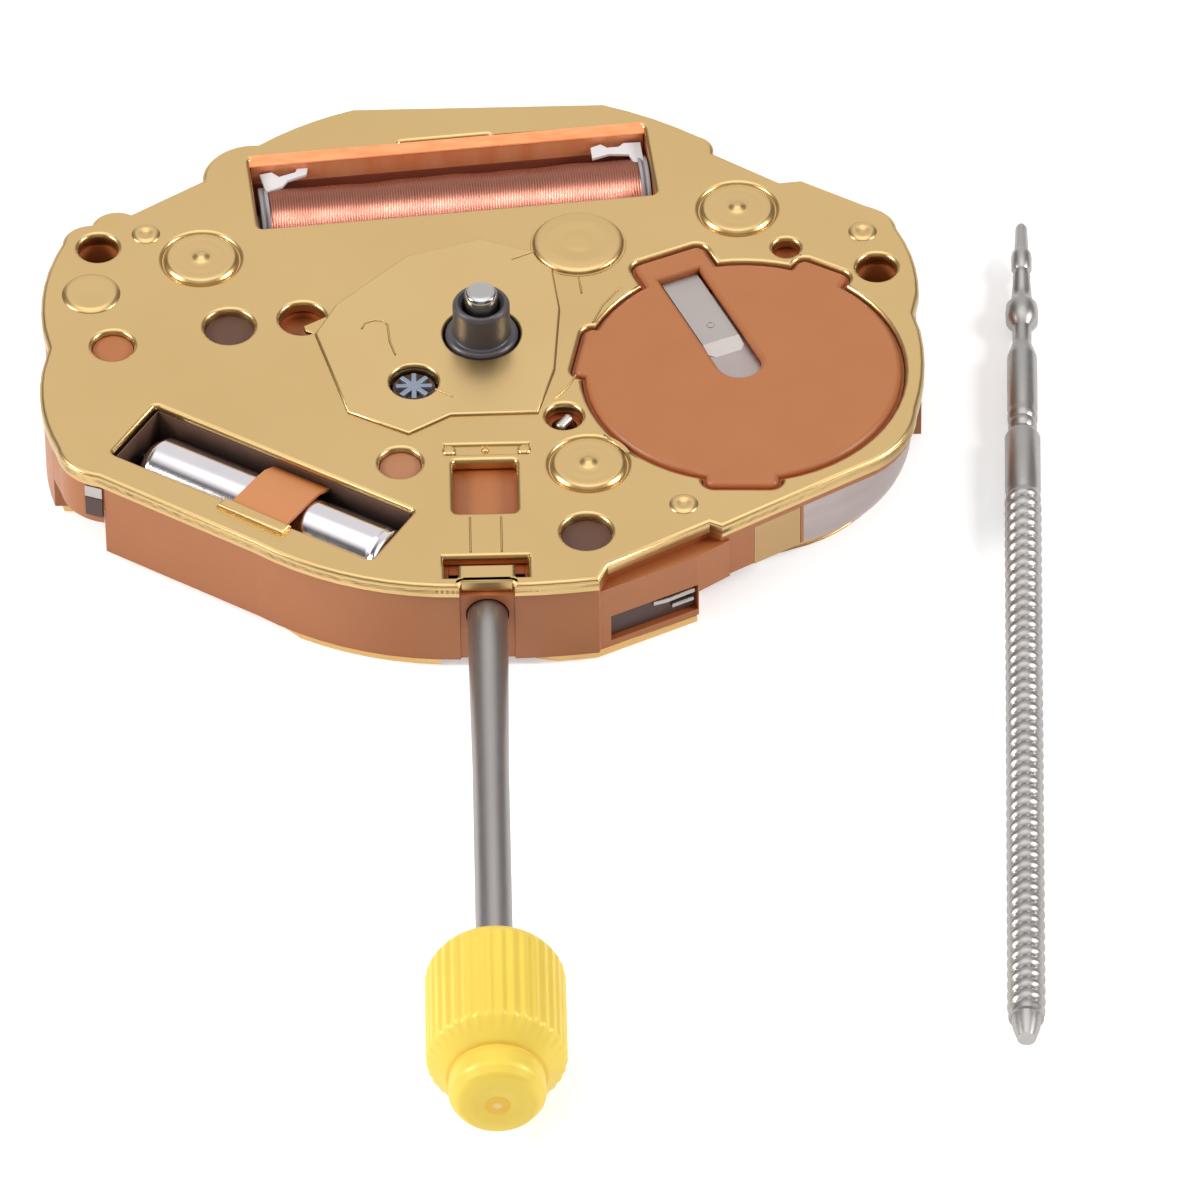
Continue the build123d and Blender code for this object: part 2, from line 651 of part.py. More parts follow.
# Moulded frame that carries everything
with BuildPart() as main_frame:
    with BuildSketch(level(frame_bottom)):
        plate_outline(FRAME_INSET)
    extrude(amount=FRAME_HEIGHT)
    with BuildSketch(level(frame_top)):
        cell_opening(OPENING_GAP)
    extrude(amount=PLATE_THICKNESS - ROOF_TOP_DEPTH)
    with BuildSketch(level(frame_bottom)):
        with BuildLine():
            Polyline(*[outline_point(*share) for share in BULGE_SHARES], close=True)
        make_face()
    extrude(amount=-BULGE_TOP_DEPTH - frame_bottom)
    round_boss([PEG_HOLES[0]], PEG_HOLE_RADIUS - FIT_GAP, frame_top, PLATE_THICKNESS - PEG_TOP_DEPTH)
    round_pocket([CELL_PLACE], CELL_RADIUS + CELL_GAP, cell_bay_top, frame_depth)
    round_pocket([CELL_PLACE], CELL_CAP_RADIUS + CELL_GAP, cell_top + CELL_GAP / 2, frame_depth)
    with BuildSketch(level(OVERRUN)):
        with Locations(Location(along_contact((SLOT_LENGTH - SLOT_WIDTH / 2) / 2), CONTACT_ANGLE)):
            Rectangle(SLOT_LENGTH - SLOT_WIDTH / 2, SLOT_WIDTH)
        with Locations(along_contact(SLOT_LENGTH - SLOT_WIDTH / 2)):
            Circle(SLOT_WIDTH / 2)
    extrude(amount=-OVERRUN - CELL_TOP_DEPTH - CELL_GAP, mode=Mode.SUBTRACT)
    with BuildSketch(level(-ROOF_TOP_DEPTH - ROOF_SKIN)):
        with Locations(Location(along_contact(-CONTACT_ROOT / 2), CONTACT_ANGLE)):
            Rectangle(CONTACT_ROOT + 2 * SEAT_GAP, SLOT_WIDTH)
    extrude(amount=ROOF_TOP_DEPTH + ROOF_SKIN - CONTACT_LEG_DEPTH - SEAT_GAP, mode=Mode.SUBTRACT)
    with BuildSketch(level(OVERRUN)):
        with Locations(Location(along_coil(COIL_WINDOW_SHIFT), COIL_ANGLE)):
            Rectangle(coil_window_length, COIL_WINDOW_WIDTH)
    extrude(amount=coil_floor - OVERRUN, mode=Mode.SUBTRACT)
    with BuildSketch(level(OVERRUN)):
        with Locations(Location(CRYSTAL_PLACE, CRYSTAL_ANGLE)):
            Rectangle(CRYSTAL_WINDOW_LENGTH, CRYSTAL_WINDOW_WIDTH)
    extrude(amount=crystal_height - CRYSTAL_RADIUS - SEAT_GAP - OVERRUN, mode=Mode.SUBTRACT)
    with BuildSketch(level(well_floor)):
        Circle(outer_radius(HOUR_TEETH, HOUR_MODULE) + WHEEL_WELL_GAP)
        with Locations(minute_place):
            Circle(outer_radius(MINUTE_TEETH, MOTION_MODULE) + WHEEL_WELL_GAP)
        with Locations(setting_place):
            Circle(outer_radius(SETTING_TEETH, MOTION_MODULE) + SHEET_GAP)
    extrude(amount=frame_top - well_floor, mode=Mode.SUBTRACT)
    with BuildSketch(level(keyless_floor)):
        with Locations((0, (keyless_front + KEYLESS_BACK) / 2)):
            Rectangle(2 * KEYLESS_HALF_WIDTH, KEYLESS_BACK - keyless_front)
        with Locations((KEYLESS_SIDE_REACH / 2, KEYLESS_BACK - KEYLESS_SIDE_LENGTH / 2)):
            Rectangle(KEYLESS_SIDE_REACH, KEYLESS_SIDE_LENGTH)
    extrude(amount=frame_top - keyless_floor, mode=Mode.SUBTRACT)
    with BuildSketch(level(stem_height - YOKE_THICKNESS / 2 - SEAT_GAP)):
        with Locations(YOKE_PIVOT):
            Circle(YOKE_HEAD_RADIUS + WHEEL_WELL_GAP)
        strip(YOKE_PIVOT, yoke_tip, YOKE_ARM_WIDTH + 3 * WHEEL_WELL_GAP)
        yoke_swung_tip = (yoke_tip[0], yoke_tip[1] + STEM_GROOVE_WIDTH)
        strip(YOKE_PIVOT, yoke_swung_tip, YOKE_ARM_WIDTH + 2 * WHEEL_WELL_GAP)
    extrude(amount=frame_top - stem_height + YOKE_THICKNESS / 2 + SEAT_GAP, mode=Mode.SUBTRACT)
    with BuildSketch(level(frame_bottom)):
        for place, radius in bridge_radii:
            with Locations(place):
                Circle(radius + WHEEL_WELL_GAP)
    extrude(amount=web_bottom - frame_bottom, mode=Mode.SUBTRACT)
    with BuildSketch(level(frame_bottom)):
        stator_outline(RUN_GAP)
    extrude(amount=stator_top - frame_bottom, mode=Mode.SUBTRACT)
    with BuildSketch(level(frame_bottom)):
        for pad in core_pads:
            strip(pad, COIL_MIDDLE, 2 * CORE_PAD_RADIUS + SEAT_GAP)
    extrude(amount=stator_top + CORE_THICKNESS + FIT_GAP - frame_bottom, mode=Mode.SUBTRACT)
    round_pocket([ROTOR_PLACE], MAGNET_RADIUS + SHEET_GAP, third_bottom, OVERRUN)
    with BuildSketch(level(frame_bottom)):
        train_bridge_outline(FIT_GAP)
    extrude(amount=BRIDGE_THICKNESS, mode=Mode.SUBTRACT)
    with BuildSketch(level(frame_bottom)):
        strip(stop_trench_start, STOP_TIP, STOP_TRENCH_WIDTH)
    extrude(amount=centre_top + SEAT_GAP - frame_bottom, mode=Mode.SUBTRACT)
    round_pocket([STOP_TAB], TAB_HOLE_RADIUS - 2 * SEAT_GAP, OVERRUN, OVERRUN - keyless_floor)
    with BuildSketch(level(keyless_floor)):
        strip(STOP_TAB, (STOP_PIVOT[0], STOP_TAB[1]), TAB_HOLE_RADIUS)
    extrude(amount=centre_top + SEAT_GAP - keyless_floor, mode=Mode.SUBTRACT)
    with BuildSketch(level(frame_bottom)):
        board_outline(FIT_GAP)
    extrude(amount=BOARD_THICKNESS, mode=Mode.SUBTRACT)
    with BuildSketch(level(frame_bottom)):
        with Locations(CHIP_PLACE):
            Rectangle(CHIP_SIZE[0] + 2 * SEAT_GAP, CHIP_SIZE[1] + 2 * SEAT_GAP)
    extrude(amount=BOARD_THICKNESS + CHIP_HEIGHT + SEAT_GAP, mode=Mode.SUBTRACT)
    round_pocket(PILLAR_PLACES, PILLAR_RADIUS + FIT_GAP, OVERRUN, frame_depth + OVERRUN)
    round_pocket(FOOT_HOLES, FOOT_HOLE_RADIUS, OVERRUN, OVERRUN + FRAME_HEIGHT)
    round_pocket(DARK_HOLES, DARK_HOLE_RADIUS, OVERRUN, OVERRUN + FRAME_HEIGHT - BOARD_THICKNESS)
    round_pocket([LEVER_HOLE], LEVER_HOLE_RADIUS, OVERRUN, OVERRUN + PLATE_THICKNESS + PEG_TOP_DEPTH)
    with BuildSketch(Plane.XZ.offset(-keyless_front - OVERRUN)):
        with Locations((0, stem_height)):
            Circle(STEM_RADIUS + RUN_GAP)
    extrude(amount=3 * OVERRUN, mode=Mode.SUBTRACT)
    with BuildSketch(level(frame_bottom)):
        with Locations((corner_notch_x, CORNER_NOTCH_Y)):
            Rectangle(HALF_WIDTH, FRONT_REACH, align=(Align.MAX, Align.MAX))
    extrude(amount=FRAME_HEIGHT, mode=Mode.SUBTRACT)
    with BuildSketch(level(frame_bottom)):
        with Locations((cell_side_x, CELL_SIDE_Y)):
            Rectangle(HALF_WIDTH, FRONT_REACH, align=(Align.MIN, Align.MAX))
    extrude(amount=-CELL_SIDE_TOP_DEPTH - frame_bottom, mode=Mode.SUBTRACT)
    with BuildSketch(level(frame_bottom)):
        with Locations((FRONT_RIGHT_X, FRONT_RIGHT_Y)):
            Rectangle(HALF_WIDTH, FRONT_REACH, align=(Align.MIN, Align.MAX))
    extrude(amount=FRONT_RIGHT_LIFT, mode=Mode.SUBTRACT)
    with BuildSketch(level(wall_slot_bottom)):
        with Locations(Location(wall_slot_place, WALL_SLOT_ANGLE)):
            Rectangle(*WALL_SLOT_SIZE)
    extrude(amount=WALL_SLOT_HEIGHT, mode=Mode.SUBTRACT)
    with BuildSketch(level(-SPACER_TOP_DEPTH + FIT_GAP)):
        with Locations(Location(spacer_place, spacer_angle)):
            Rectangle(SPACER_WIDTH + 2 * FIT_GAP, SPACER_DEPTH + 2 * SEAT_GAP)
    extrude(amount=-FRAME_HEIGHT, mode=Mode.SUBTRACT)
    round_pocket(arbor_places, PIVOT_RADIUS + RUN_GAP, third_top + PIVOT_LENGTH + SHEET_GAP, OVERRUN)
    round_pocket([CENTRE], CENTRE_ARBOR_RADIUS + RUN_GAP, well_floor + OVERRUN, 2 * OVERRUN)
    round_boss([minute_place], ARBOR_RADIUS, well_floor, frame_top - SEAT_GAP - well_floor)
    round_boss([setting_place], ARBOR_RADIUS, well_floor, minute_top + SHEET_GAP - well_floor)
    round_boss([STOP_PIVOT], POST_RADIUS - RUN_GAP, keyless_floor, centre_top + SEAT_GAP - keyless_floor)
save(main_frame, "main_frame")

# Cover on the back, with its openings for the cell and the stem
COVER_CELL_RADIUS = 3.25
COVER_STEM_NOTCH = (1.90, 0.45)
COVER_MARK_PLACES = (CENTRE, third_place, intermediate_place, ROTOR_PLACE)
COVER_MARK_RADIUS = 0.24
clamp_length = CLAMP_REACH + CLAMP_TIP_REACH
clamp_place = polar(CELL_PLACE, (CLAMP_TIP_REACH - CLAMP_REACH) / 2, CONTACT_ANGLE)
with BuildPart() as back_cover:
    with BuildSketch(level(back_face)):
        plate_outline(COVER_INSET)
        with BuildLine():
            Polyline(*[outline_point(*share) for share in BULGE_SHARES], close=True)
        make_face()
    extrude(amount=COVER_THICKNESS)
    round_pocket([CELL_PLACE], COVER_CELL_RADIUS, OVERRUN + back_face, 2 * OVERRUN)
    with BuildSketch(level(back_face)):
        with Locations(Location(clamp_place, CONTACT_ANGLE)):
            Rectangle(clamp_length + 2 * RUN_GAP, CLAMP_WIDTH + 2 * RUN_GAP)
        with Locations((0, -FRONT_REACH)):
            Rectangle(COVER_STEM_NOTCH[0], 2 * COVER_STEM_NOTCH[1])
        with Locations((FRONT_RIGHT_X, FRONT_RIGHT_Y)):
            Rectangle(HALF_WIDTH, FRONT_REACH, align=(Align.MIN, Align.MAX))
        with Locations((corner_notch_x, CORNER_NOTCH_Y)):
            Rectangle(HALF_WIDTH, FRONT_REACH, align=(Align.MAX, Align.MAX))
    extrude(amount=COVER_THICKNESS, mode=Mode.SUBTRACT)
    round_pocket(PILLAR_PLACES, SCREW_HEAD_RADIUS + SEAT_GAP, back_face + SCREW_HEAD_HEIGHT, OVERRUN)
    round_pocket(PILLAR_PLACES, PILLAR_BORE_RADIUS + RUN_GAP, frame_bottom + OVERRUN, 2 * OVERRUN)
    round_pocket(COVER_MARK_PLACES, COVER_MARK_RADIUS, frame_bottom + OVERRUN, 2 * OVERRUN)
save(back_cover, "back_cover")

with BuildPart() as train_bridge:
    with BuildSketch(level(frame_bottom)):
        train_bridge_outline(0)
    extrude(amount=BRIDGE_THICKNESS)
    bridge_holes = (CENTRE, third_place, intermediate_place, ROTOR_PLACE)
    round_pocket(bridge_holes, PIVOT_RADIUS + RUN_GAP, bridge_top + OVERRUN, 2 * OVERRUN)
save(train_bridge, "train_bridge")

# Pillars, pressed into the plate, and the screws that come up into them from the back
PILLAR_CONE_RADIUS = 0.24
PILLAR_CONE_HEIGHT = 0.06
PILLAR_HEAD_THICKNESS = 0.21
with BuildPart() as pillars:
    round_boss(PILLAR_PLACES, PILLAR_RADIUS, frame_bottom, -PILLAR_POCKET_DEPTH - frame_bottom)
    round_boss(PILLAR_PLACES, PILLAR_HEAD_RADIUS, -PILLAR_POCKET_DEPTH, PILLAR_HEAD_THICKNESS)
    with Locations(*[(x, y, PILLAR_HEAD_THICKNESS - PILLAR_POCKET_DEPTH) for x, y in PILLAR_PLACES]):
        Cone(PILLAR_CONE_RADIUS, 0, PILLAR_CONE_HEIGHT, align=(Align.CENTER, Align.CENTER, Align.MIN))
    round_pocket(PILLAR_PLACES, PILLAR_BORE_RADIUS, frame_bottom + SCREW_LENGTH, SCREW_LENGTH + OVERRUN)
save(pillars, "pillars")

with BuildPart() as cover_screws:
    round_boss(PILLAR_PLACES, SCREW_HEAD_RADIUS, back_face, SCREW_HEAD_HEIGHT)
    round_boss(PILLAR_PLACES, PILLAR_BORE_RADIUS - FIT_GAP, back_face, SCREW_LENGTH)
    with BuildSketch(level(back_face)):
        with Locations(*PILLAR_PLACES):
            Rectangle(2 * SCREW_HEAD_RADIUS + OVERRUN, SCREW_SLOT_WIDTH)
    extrude(amount=SCREW_HEAD_HEIGHT / 2, mode=Mode.SUBTRACT)
save(cover_screws, "cover_screws")

# Cell and what touches it
cell_shoulder = cell_top - CELL_CAP_HEIGHT
with BuildPart() as coin_cell:
    round_boss([CELL_PLACE], CELL_RADIUS, cell_bottom, CELL_THICKNESS - CELL_CAP_HEIGHT)
    fillet(coin_cell.edges().filter_by(GeomType.CIRCLE), CELL_EDGE_RADIUS)
    round_boss([CELL_PLACE], CELL_CAP_RADIUS, cell_shoulder, CELL_CAP_HEIGHT)
save(coin_cell, "coin_cell")

contact_top = -ROOF_TOP_DEPTH - ROOF_SKIN - FIT_GAP
CONTACT_POINT_SHARE = 0.30
CONTACT_LEG_WIDTH = 0.60
with BuildPart() as negative_contact:
    with BuildSketch(level(contact_top)):
        with BuildLine():
            Polyline(
                along_contact(-CONTACT_ROOT, -1), along_contact(-CONTACT_ROOT, 1),
                along_contact(CONTACT_LENGTH * (1 - CONTACT_POINT_SHARE / 2), 1),
                along_contact(CONTACT_LENGTH),
                along_contact(CONTACT_LENGTH * (1 - CONTACT_POINT_SHARE / 2), -1),
                close=True,
            )
        make_face()
    extrude(amount=-CONTACT_THICKNESS)
    with BuildSketch(level(contact_top)):
        with Locations(Location(along_contact(CONTACT_THICKNESS / 2 - CONTACT_ROOT), CONTACT_ANGLE)):
            Rectangle(CONTACT_THICKNESS, CONTACT_LEG_WIDTH)
    extrude(amount=-CONTACT_LEG_DEPTH - contact_top)
save(negative_contact, "negative_contact")

CLAMP_DIMPLE_RADIUS = 0.70
with BuildPart() as cell_clamp:
    with BuildSketch(level(frame_bottom)):
        with Locations(Location(clamp_place, CONTACT_ANGLE)):
            Rectangle(clamp_length, CLAMP_WIDTH)
    extrude(amount=-CLAMP_THICKNESS)
    round_boss([CELL_PLACE], CLAMP_DIMPLE_RADIUS, frame_bottom, cell_bottom - FIT_GAP - frame_bottom)
save(cell_clamp, "cell_clamp")

CONTACT_STRIP_HEIGHT = 0.45
with BuildPart() as positive_contact:
    with BuildSketch(level(wall_slot_bottom)):
        with Locations(Location(wall_slot_place, WALL_SLOT_ANGLE)):
            Rectangle(WALL_SLOT_SIZE[0] - 2 * FIT_GAP, SPRING_STRIP_THICKNESS)
    extrude(amount=CONTACT_STRIP_HEIGHT)
save(positive_contact, "positive_contact")

with BuildPart() as cell_spacer:
    with BuildSketch(level(-SPACER_TOP_DEPTH)):
        with Locations(Location(spacer_place, spacer_angle)):
            Rectangle(SPACER_WIDTH, SPACER_DEPTH)
        with Locations(CELL_PLACE):
            Circle(CELL_RADIUS + CELL_GAP, mode=Mode.SUBTRACT)
    extrude(amount=-SPACER_HEIGHT)
save(cell_spacer, "cell_spacer")

with BuildPart() as side_clip:
    with BuildSketch(level(frame_top)):
        plate_outline(FRAME_INSET)
        with Locations((corner_notch_x - FIT_GAP, CORNER_NOTCH_Y - FIT_GAP)):
            Rectangle(HALF_WIDTH, FRONT_REACH, align=(Align.MAX, Align.MAX), mode=Mode.INTERSECT)
    extrude(amount=-CLIP_HEIGHT)
    with BuildSketch(level(frame_top - CLIP_THICKNESS)):
        plate_outline(FRAME_INSET + CLIP_THICKNESS)
    extrude(amount=-CLIP_HEIGHT, mode=Mode.SUBTRACT)
save(side_clip, "side_clip")

# Crystal in its can, its strap, the circuit board and the chip
CRYSTAL_LEAD_RADIUS = 0.07
CRYSTAL_LEAD_LENGTH = 0.28
CRYSTAL_LEAD_PITCH = 0.50
CRYSTAL_END_RADIUS = 0.16
crystal_start = along_crystal(CRYSTAL_SHIFT - CRYSTAL_LENGTH / 2)
crystal_plane = Plane(
    origin=(crystal_start[0], crystal_start[1], crystal_height),
    x_dir=(-sin(radians(CRYSTAL_ANGLE)), cos(radians(CRYSTAL_ANGLE)), 0),
    z_dir=(cos(radians(CRYSTAL_ANGLE)), sin(radians(CRYSTAL_ANGLE)), 0),
)
with BuildPart() as crystal_can:
    with BuildSketch(crystal_plane):
        Circle(CRYSTAL_RADIUS)
    extrude(amount=CRYSTAL_LENGTH)
    fillet(crystal_can.edges().filter_by(GeomType.CIRCLE), CRYSTAL_END_RADIUS)
save(crystal_can, "crystal_can")

with BuildPart() as crystal_leads:
    with BuildSketch(crystal_plane.offset(-FIT_GAP)):
        for side in (-1, 1):
            with Locations((side * CRYSTAL_LEAD_PITCH / 2, 0)):
                Circle(CRYSTAL_LEAD_RADIUS)
    extrude(amount=-CRYSTAL_LEAD_LENGTH)
save(crystal_leads, "crystal_leads")

strap_width = CRYSTAL_WINDOW_WIDTH - 2 * FIT_GAP
strap_middle = along_crystal(STRAP_SHIFT)
with BuildPart() as crystal_strap:
    with BuildSketch(level(-STRAP_TOP_DEPTH)):
        with Locations(Location(strap_middle, CRYSTAL_ANGLE)):
            Rectangle(STRAP_WIDTH, strap_width)
    extrude(amount=-STRAP_LEG_DEPTH)
    with BuildSketch(crystal_plane):
        Circle(CRYSTAL_RADIUS + FIT_GAP)
        with Locations((0, -CRYSTAL_RADIUS)):
            Rectangle(2 * (CRYSTAL_RADIUS + FIT_GAP), 2 * CRYSTAL_RADIUS)
    extrude(amount=CRYSTAL_LENGTH, mode=Mode.SUBTRACT)
save(crystal_strap, "crystal_strap")

with BuildPart() as circuit_board:
    with BuildSketch(level(frame_bottom)):
        board_outline(0)
        with Locations(*PILLAR_PLACES[:1]):
            Circle(PILLAR_RADIUS + SEAT_GAP, mode=Mode.SUBTRACT)
    extrude(amount=BOARD_THICKNESS)
save(circuit_board, "circuit_board")

with BuildPart() as circuit_chip:
    with BuildSketch(level(board_top)):
        with Locations(CHIP_PLACE):
            RectangleRounded(*CHIP_SIZE, CHIP_HEIGHT / 2)
    extrude(amount=CHIP_HEIGHT)
save(circuit_chip, "circuit_chip")

# Coil on its core, with the flanges, end tabs and screws
coil_plane = Plane(
    origin=(*along_coil(-COIL_LENGTH / 2), coil_height),
    x_dir=(-sin(radians(COIL_ANGLE)), cos(radians(COIL_ANGLE)), 0),
    z_dir=(cos(radians(COIL_ANGLE)), sin(radians(COIL_ANGLE)), 0),
)
core_bore = (CORE_WIDTH + 2 * FIT_GAP, CORE_THICKNESS + 2 * FIT_GAP)
with BuildPart() as coil_winding:
    with BuildSketch(coil_plane):
        Circle(COIL_RADIUS)
        Rectangle(*core_bore, mode=Mode.SUBTRACT)
    extrude(amount=COIL_LENGTH)
save(coil_winding, "coil_winding")

with BuildPart() as coil_flanges:
    far_flange = COIL_LENGTH + FIT_GAP + COIL_FLANGE_THICKNESS
    with BuildSketch(coil_plane.offset(-FIT_GAP), coil_plane.offset(far_flange)):
        Circle(COIL_FLANGE_RADIUS)
        Rectangle(*core_bore, mode=Mode.SUBTRACT)
    extrude(amount=-COIL_FLANGE_THICKNESS)
save(coil_flanges, "coil_flanges")

core_top = stator_top + CORE_THICKNESS
with BuildPart() as coil_core:
    with BuildSketch(level(stator_top)):
        strip(core_pads[0], core_pads[1], CORE_WIDTH)
        with Locations(*core_pads):
            Circle(CORE_PAD_RADIUS)
    extrude(amount=CORE_THICKNESS)
    round_pocket(core_pads, COIL_SCREW_RADIUS + FIT_GAP, core_top + OVERRUN, 2 * OVERRUN)
save(coil_core, "coil_core")

TAB_SIZE = (0.62, 0.42)
TAB_THICKNESS = 0.08
TAB_END_MARGIN = 0.05
TAB_SIDE = 0.78
TAB_DEPTH = 0.40
tab_shift = COIL_LENGTH / 2 - TAB_END_MARGIN
with BuildPart() as coil_tabs:
    with BuildSketch(level(-TAB_DEPTH)):
        for shift in (-tab_shift, tab_shift - TAB_SIZE[0] / 4):
            with Locations(Location(along_coil(shift, TAB_SIDE), COIL_ANGLE)):
                Rectangle(*TAB_SIZE)
    extrude(amount=-TAB_THICKNESS)
save(coil_tabs, "coil_tabs")

coil_screw_bottom = stator_bottom - FIT_GAP - COIL_SCREW_HEAD_HEIGHT
with BuildPart() as coil_screws:
    round_boss(core_pads, COIL_SCREW_HEAD_RADIUS, coil_screw_bottom, COIL_SCREW_HEAD_HEIGHT)
    round_boss(core_pads, COIL_SCREW_RADIUS, stator_bottom - FIT_GAP, core_top - stator_bottom + FIT_GAP)
    with BuildSketch(level(coil_screw_bottom)):
        with Locations(*core_pads):
            Rectangle(2 * COIL_SCREW_HEAD_RADIUS + OVERRUN, SCREW_SLOT_WIDTH)
    extrude(amount=COIL_SCREW_HEAD_HEIGHT / 2, mode=Mode.SUBTRACT)
save(coil_screws, "coil_screws")

with BuildPart() as stator:
    with BuildSketch(level(stator_bottom)):
        stator_outline(0)
    extrude(amount=STATOR_THICKNESS)
    round_pocket([ROTOR_PLACE], STATOR_BORE_RADIUS, stator_top + OVERRUN, 2 * OVERRUN)
    round_pocket(core_pads, COIL_SCREW_RADIUS + FIT_GAP, stator_top + OVERRUN, 2 * OVERRUN)
save(stator, "stator")


# Rotor and wheels of the train
WHEEL_RIM_SHARE = 0.62
WHEEL_WINDOW_SHARE = 0.17
WHEEL_WINDOWS = 5


def wheel(name, place, teeth, module, phase, bottom, thickness, bore):
    """Toothed wheel with round windows between its rim and hub."""
    with BuildPart() as piece:
        with BuildSketch(level(bottom)):
            toothed(place, teeth, module, phase)
            pitch_radius = teeth * module / 2
            for index in range(WHEEL_WINDOWS):
                with Locations(polar(place, pitch_radius * WHEEL_RIM_SHARE, index * 360 / WHEEL_WINDOWS)):
                    Circle(pitch_radius * WHEEL_WINDOW_SHARE, mode=Mode.SUBTRACT)
            with Locations(place):
                Circle(bore, mode=Mode.SUBTRACT)
        extrude(amount=thickness)
    save(piece, name)


def pinion(name, place, teeth, module, leaf_bottom, leaf_top, arbor_bottom, arbor_top):
    """Pinion with its arbor and the two pivots."""
    with BuildPart() as piece:
        with BuildSketch(level(leaf_bottom)):
            toothed(place, teeth, module, 0)
        extrude(amount=leaf_top - leaf_bottom)
        round_boss([place], ARBOR_RADIUS, arbor_bottom, arbor_top - arbor_bottom)
        pivot_bottom = bridge_top - PIVOT_LENGTH
        pivot_top = third_top + PIVOT_LENGTH
        round_boss([place], PIVOT_RADIUS, pivot_bottom, pivot_top - pivot_bottom)
    save(piece, name)


magnet_bottom = (stator_top + stator_bottom) / 2 - MAGNET_HEIGHT / 2
magnet_top = magnet_bottom + MAGNET_HEIGHT
arbor_low = bridge_top + RUN_GAP
arbor_high = web_bottom - RUN_GAP
with BuildPart() as rotor_magnet:
    round_boss([ROTOR_PLACE], MAGNET_RADIUS, magnet_bottom, MAGNET_HEIGHT)
    round_pocket([ROTOR_PLACE], ARBOR_RADIUS + FIT_GAP, magnet_top + OVERRUN, 2 * OVERRUN)
save(rotor_magnet, "rotor_magnet")
pinion("rotor_pinion", ROTOR_PLACE, ROTOR_LEAVES, ROTOR_MODULE, intermediate_bottom - SEAT_GAP,
       magnet_bottom - FIT_GAP, arbor_low, magnet_top)

arbor_bore = ARBOR_RADIUS + FIT_GAP
wheel("intermediate_wheel", intermediate_place, INTERMEDIATE_TEETH, ROTOR_MODULE, intermediate_phase,
      intermediate_bottom, WHEEL_THICKNESS, arbor_bore)
pinion("intermediate_pinion", intermediate_place, INTERMEDIATE_LEAVES, THIRD_MODULE,
       third_bottom - SEAT_GAP, arbor_high, arbor_low, arbor_high)
wheel("third_wheel", third_place, THIRD_TEETH, THIRD_MODULE, third_phase, third_bottom,
      WHEEL_THICKNESS, arbor_bore)
pinion("third_pinion", third_place, THIRD_LEAVES, CENTRE_MODULE, centre_bottom - SEAT_GAP,
       third_bottom - FIT_GAP, arbor_low, arbor_high)

# Centre wheel on its long arbor, and the cannon pinion that slips on it
CANNON_BORE_REACH = 0.65
wheel("centre_wheel", CENTRE, CENTRE_TEETH, CENTRE_MODULE, centre_phase, centre_bottom,
      WHEEL_THICKNESS, CENTRE_ARBOR_RADIUS + FIT_GAP)
with BuildPart() as centre_arbor:
    round_boss([CENTRE], PIVOT_RADIUS, bridge_top - PIVOT_LENGTH, arbor_low + PIVOT_LENGTH - bridge_top)
    round_boss([CENTRE], CENTRE_ARBOR_RADIUS, arbor_low, CANNON_BORE_REACH - FIT_GAP - arbor_low)
save(centre_arbor, "centre_arbor")

POST_ROUNDING = 0.06
with BuildPart() as cannon_pinion:
    cannon_post_bottom = hour_bottom - RUN_GAP
    round_boss([CENTRE], MINUTE_POST_RADIUS, cannon_post_bottom, MINUTE_SEAT_START - cannon_post_bottom)
    round_boss([CENTRE], MINUTE_SEAT_RADIUS, MINUTE_SEAT_START, MINUTE_POST_REACH - MINUTE_SEAT_START)
    fillet(cannon_pinion.edges().group_by(Axis.Z)[-1], POST_ROUNDING)
    with BuildSketch(level(well_floor + RUN_GAP)):
        toothed(CENTRE, CANNON_LEAVES, MOTION_MODULE, 0)
    extrude(amount=hour_bottom - well_floor - 2 * RUN_GAP)
    round_pocket([CENTRE], CENTRE_ARBOR_RADIUS + FIT_GAP, CANNON_BORE_REACH, CANNON_BORE_REACH - well_floor)
save(cannon_pinion, "cannon_pinion")

# Minute wheel with its pinion, hour wheel with its tube, and the setting wheel
MINUTE_HUB_RADIUS = 0.24
minute_bore = ARBOR_RADIUS + RUN_GAP
wheel("minute_wheel", minute_place, MINUTE_TEETH, MOTION_MODULE, minute_phase, minute_bottom,
      WHEEL_THICKNESS, MINUTE_HUB_RADIUS + FIT_GAP)
with BuildPart() as minute_pinion:
    round_boss([minute_place], MINUTE_HUB_RADIUS, minute_bottom - RUN_GAP, WHEEL_THICKNESS + RUN_GAP)
    with BuildSketch(level(minute_top)):
        toothed(minute_place, MINUTE_LEAVES, HOUR_MODULE, 0)
    extrude(amount=frame_top - RUN_GAP - minute_top)
    round_pocket([minute_place], minute_bore, OVERRUN, 2 * OVERRUN + FRAME_HEIGHT)
save(minute_pinion, "minute_pinion")

with BuildPart() as hour_wheel:
    with BuildSketch(level(hour_bottom)):
        toothed(CENTRE, HOUR_TEETH, HOUR_MODULE, hour_phase)
    extrude(amount=HOUR_WHEEL_THICKNESS)
    round_boss([CENTRE], HOUR_HUB_RADIUS, hour_top, HOUR_HUB_REACH - hour_top)
    round_boss([CENTRE], HOUR_TUBE_RADIUS, HOUR_HUB_REACH, HOUR_TUBE_REACH - HOUR_HUB_REACH)
    tube_cut_top = HOUR_TUBE_REACH + OVERRUN
    round_pocket([CENTRE], MINUTE_POST_RADIUS + RUN_GAP, tube_cut_top, tube_cut_top + OVERRUN)
save(hour_wheel, "hour_wheel")

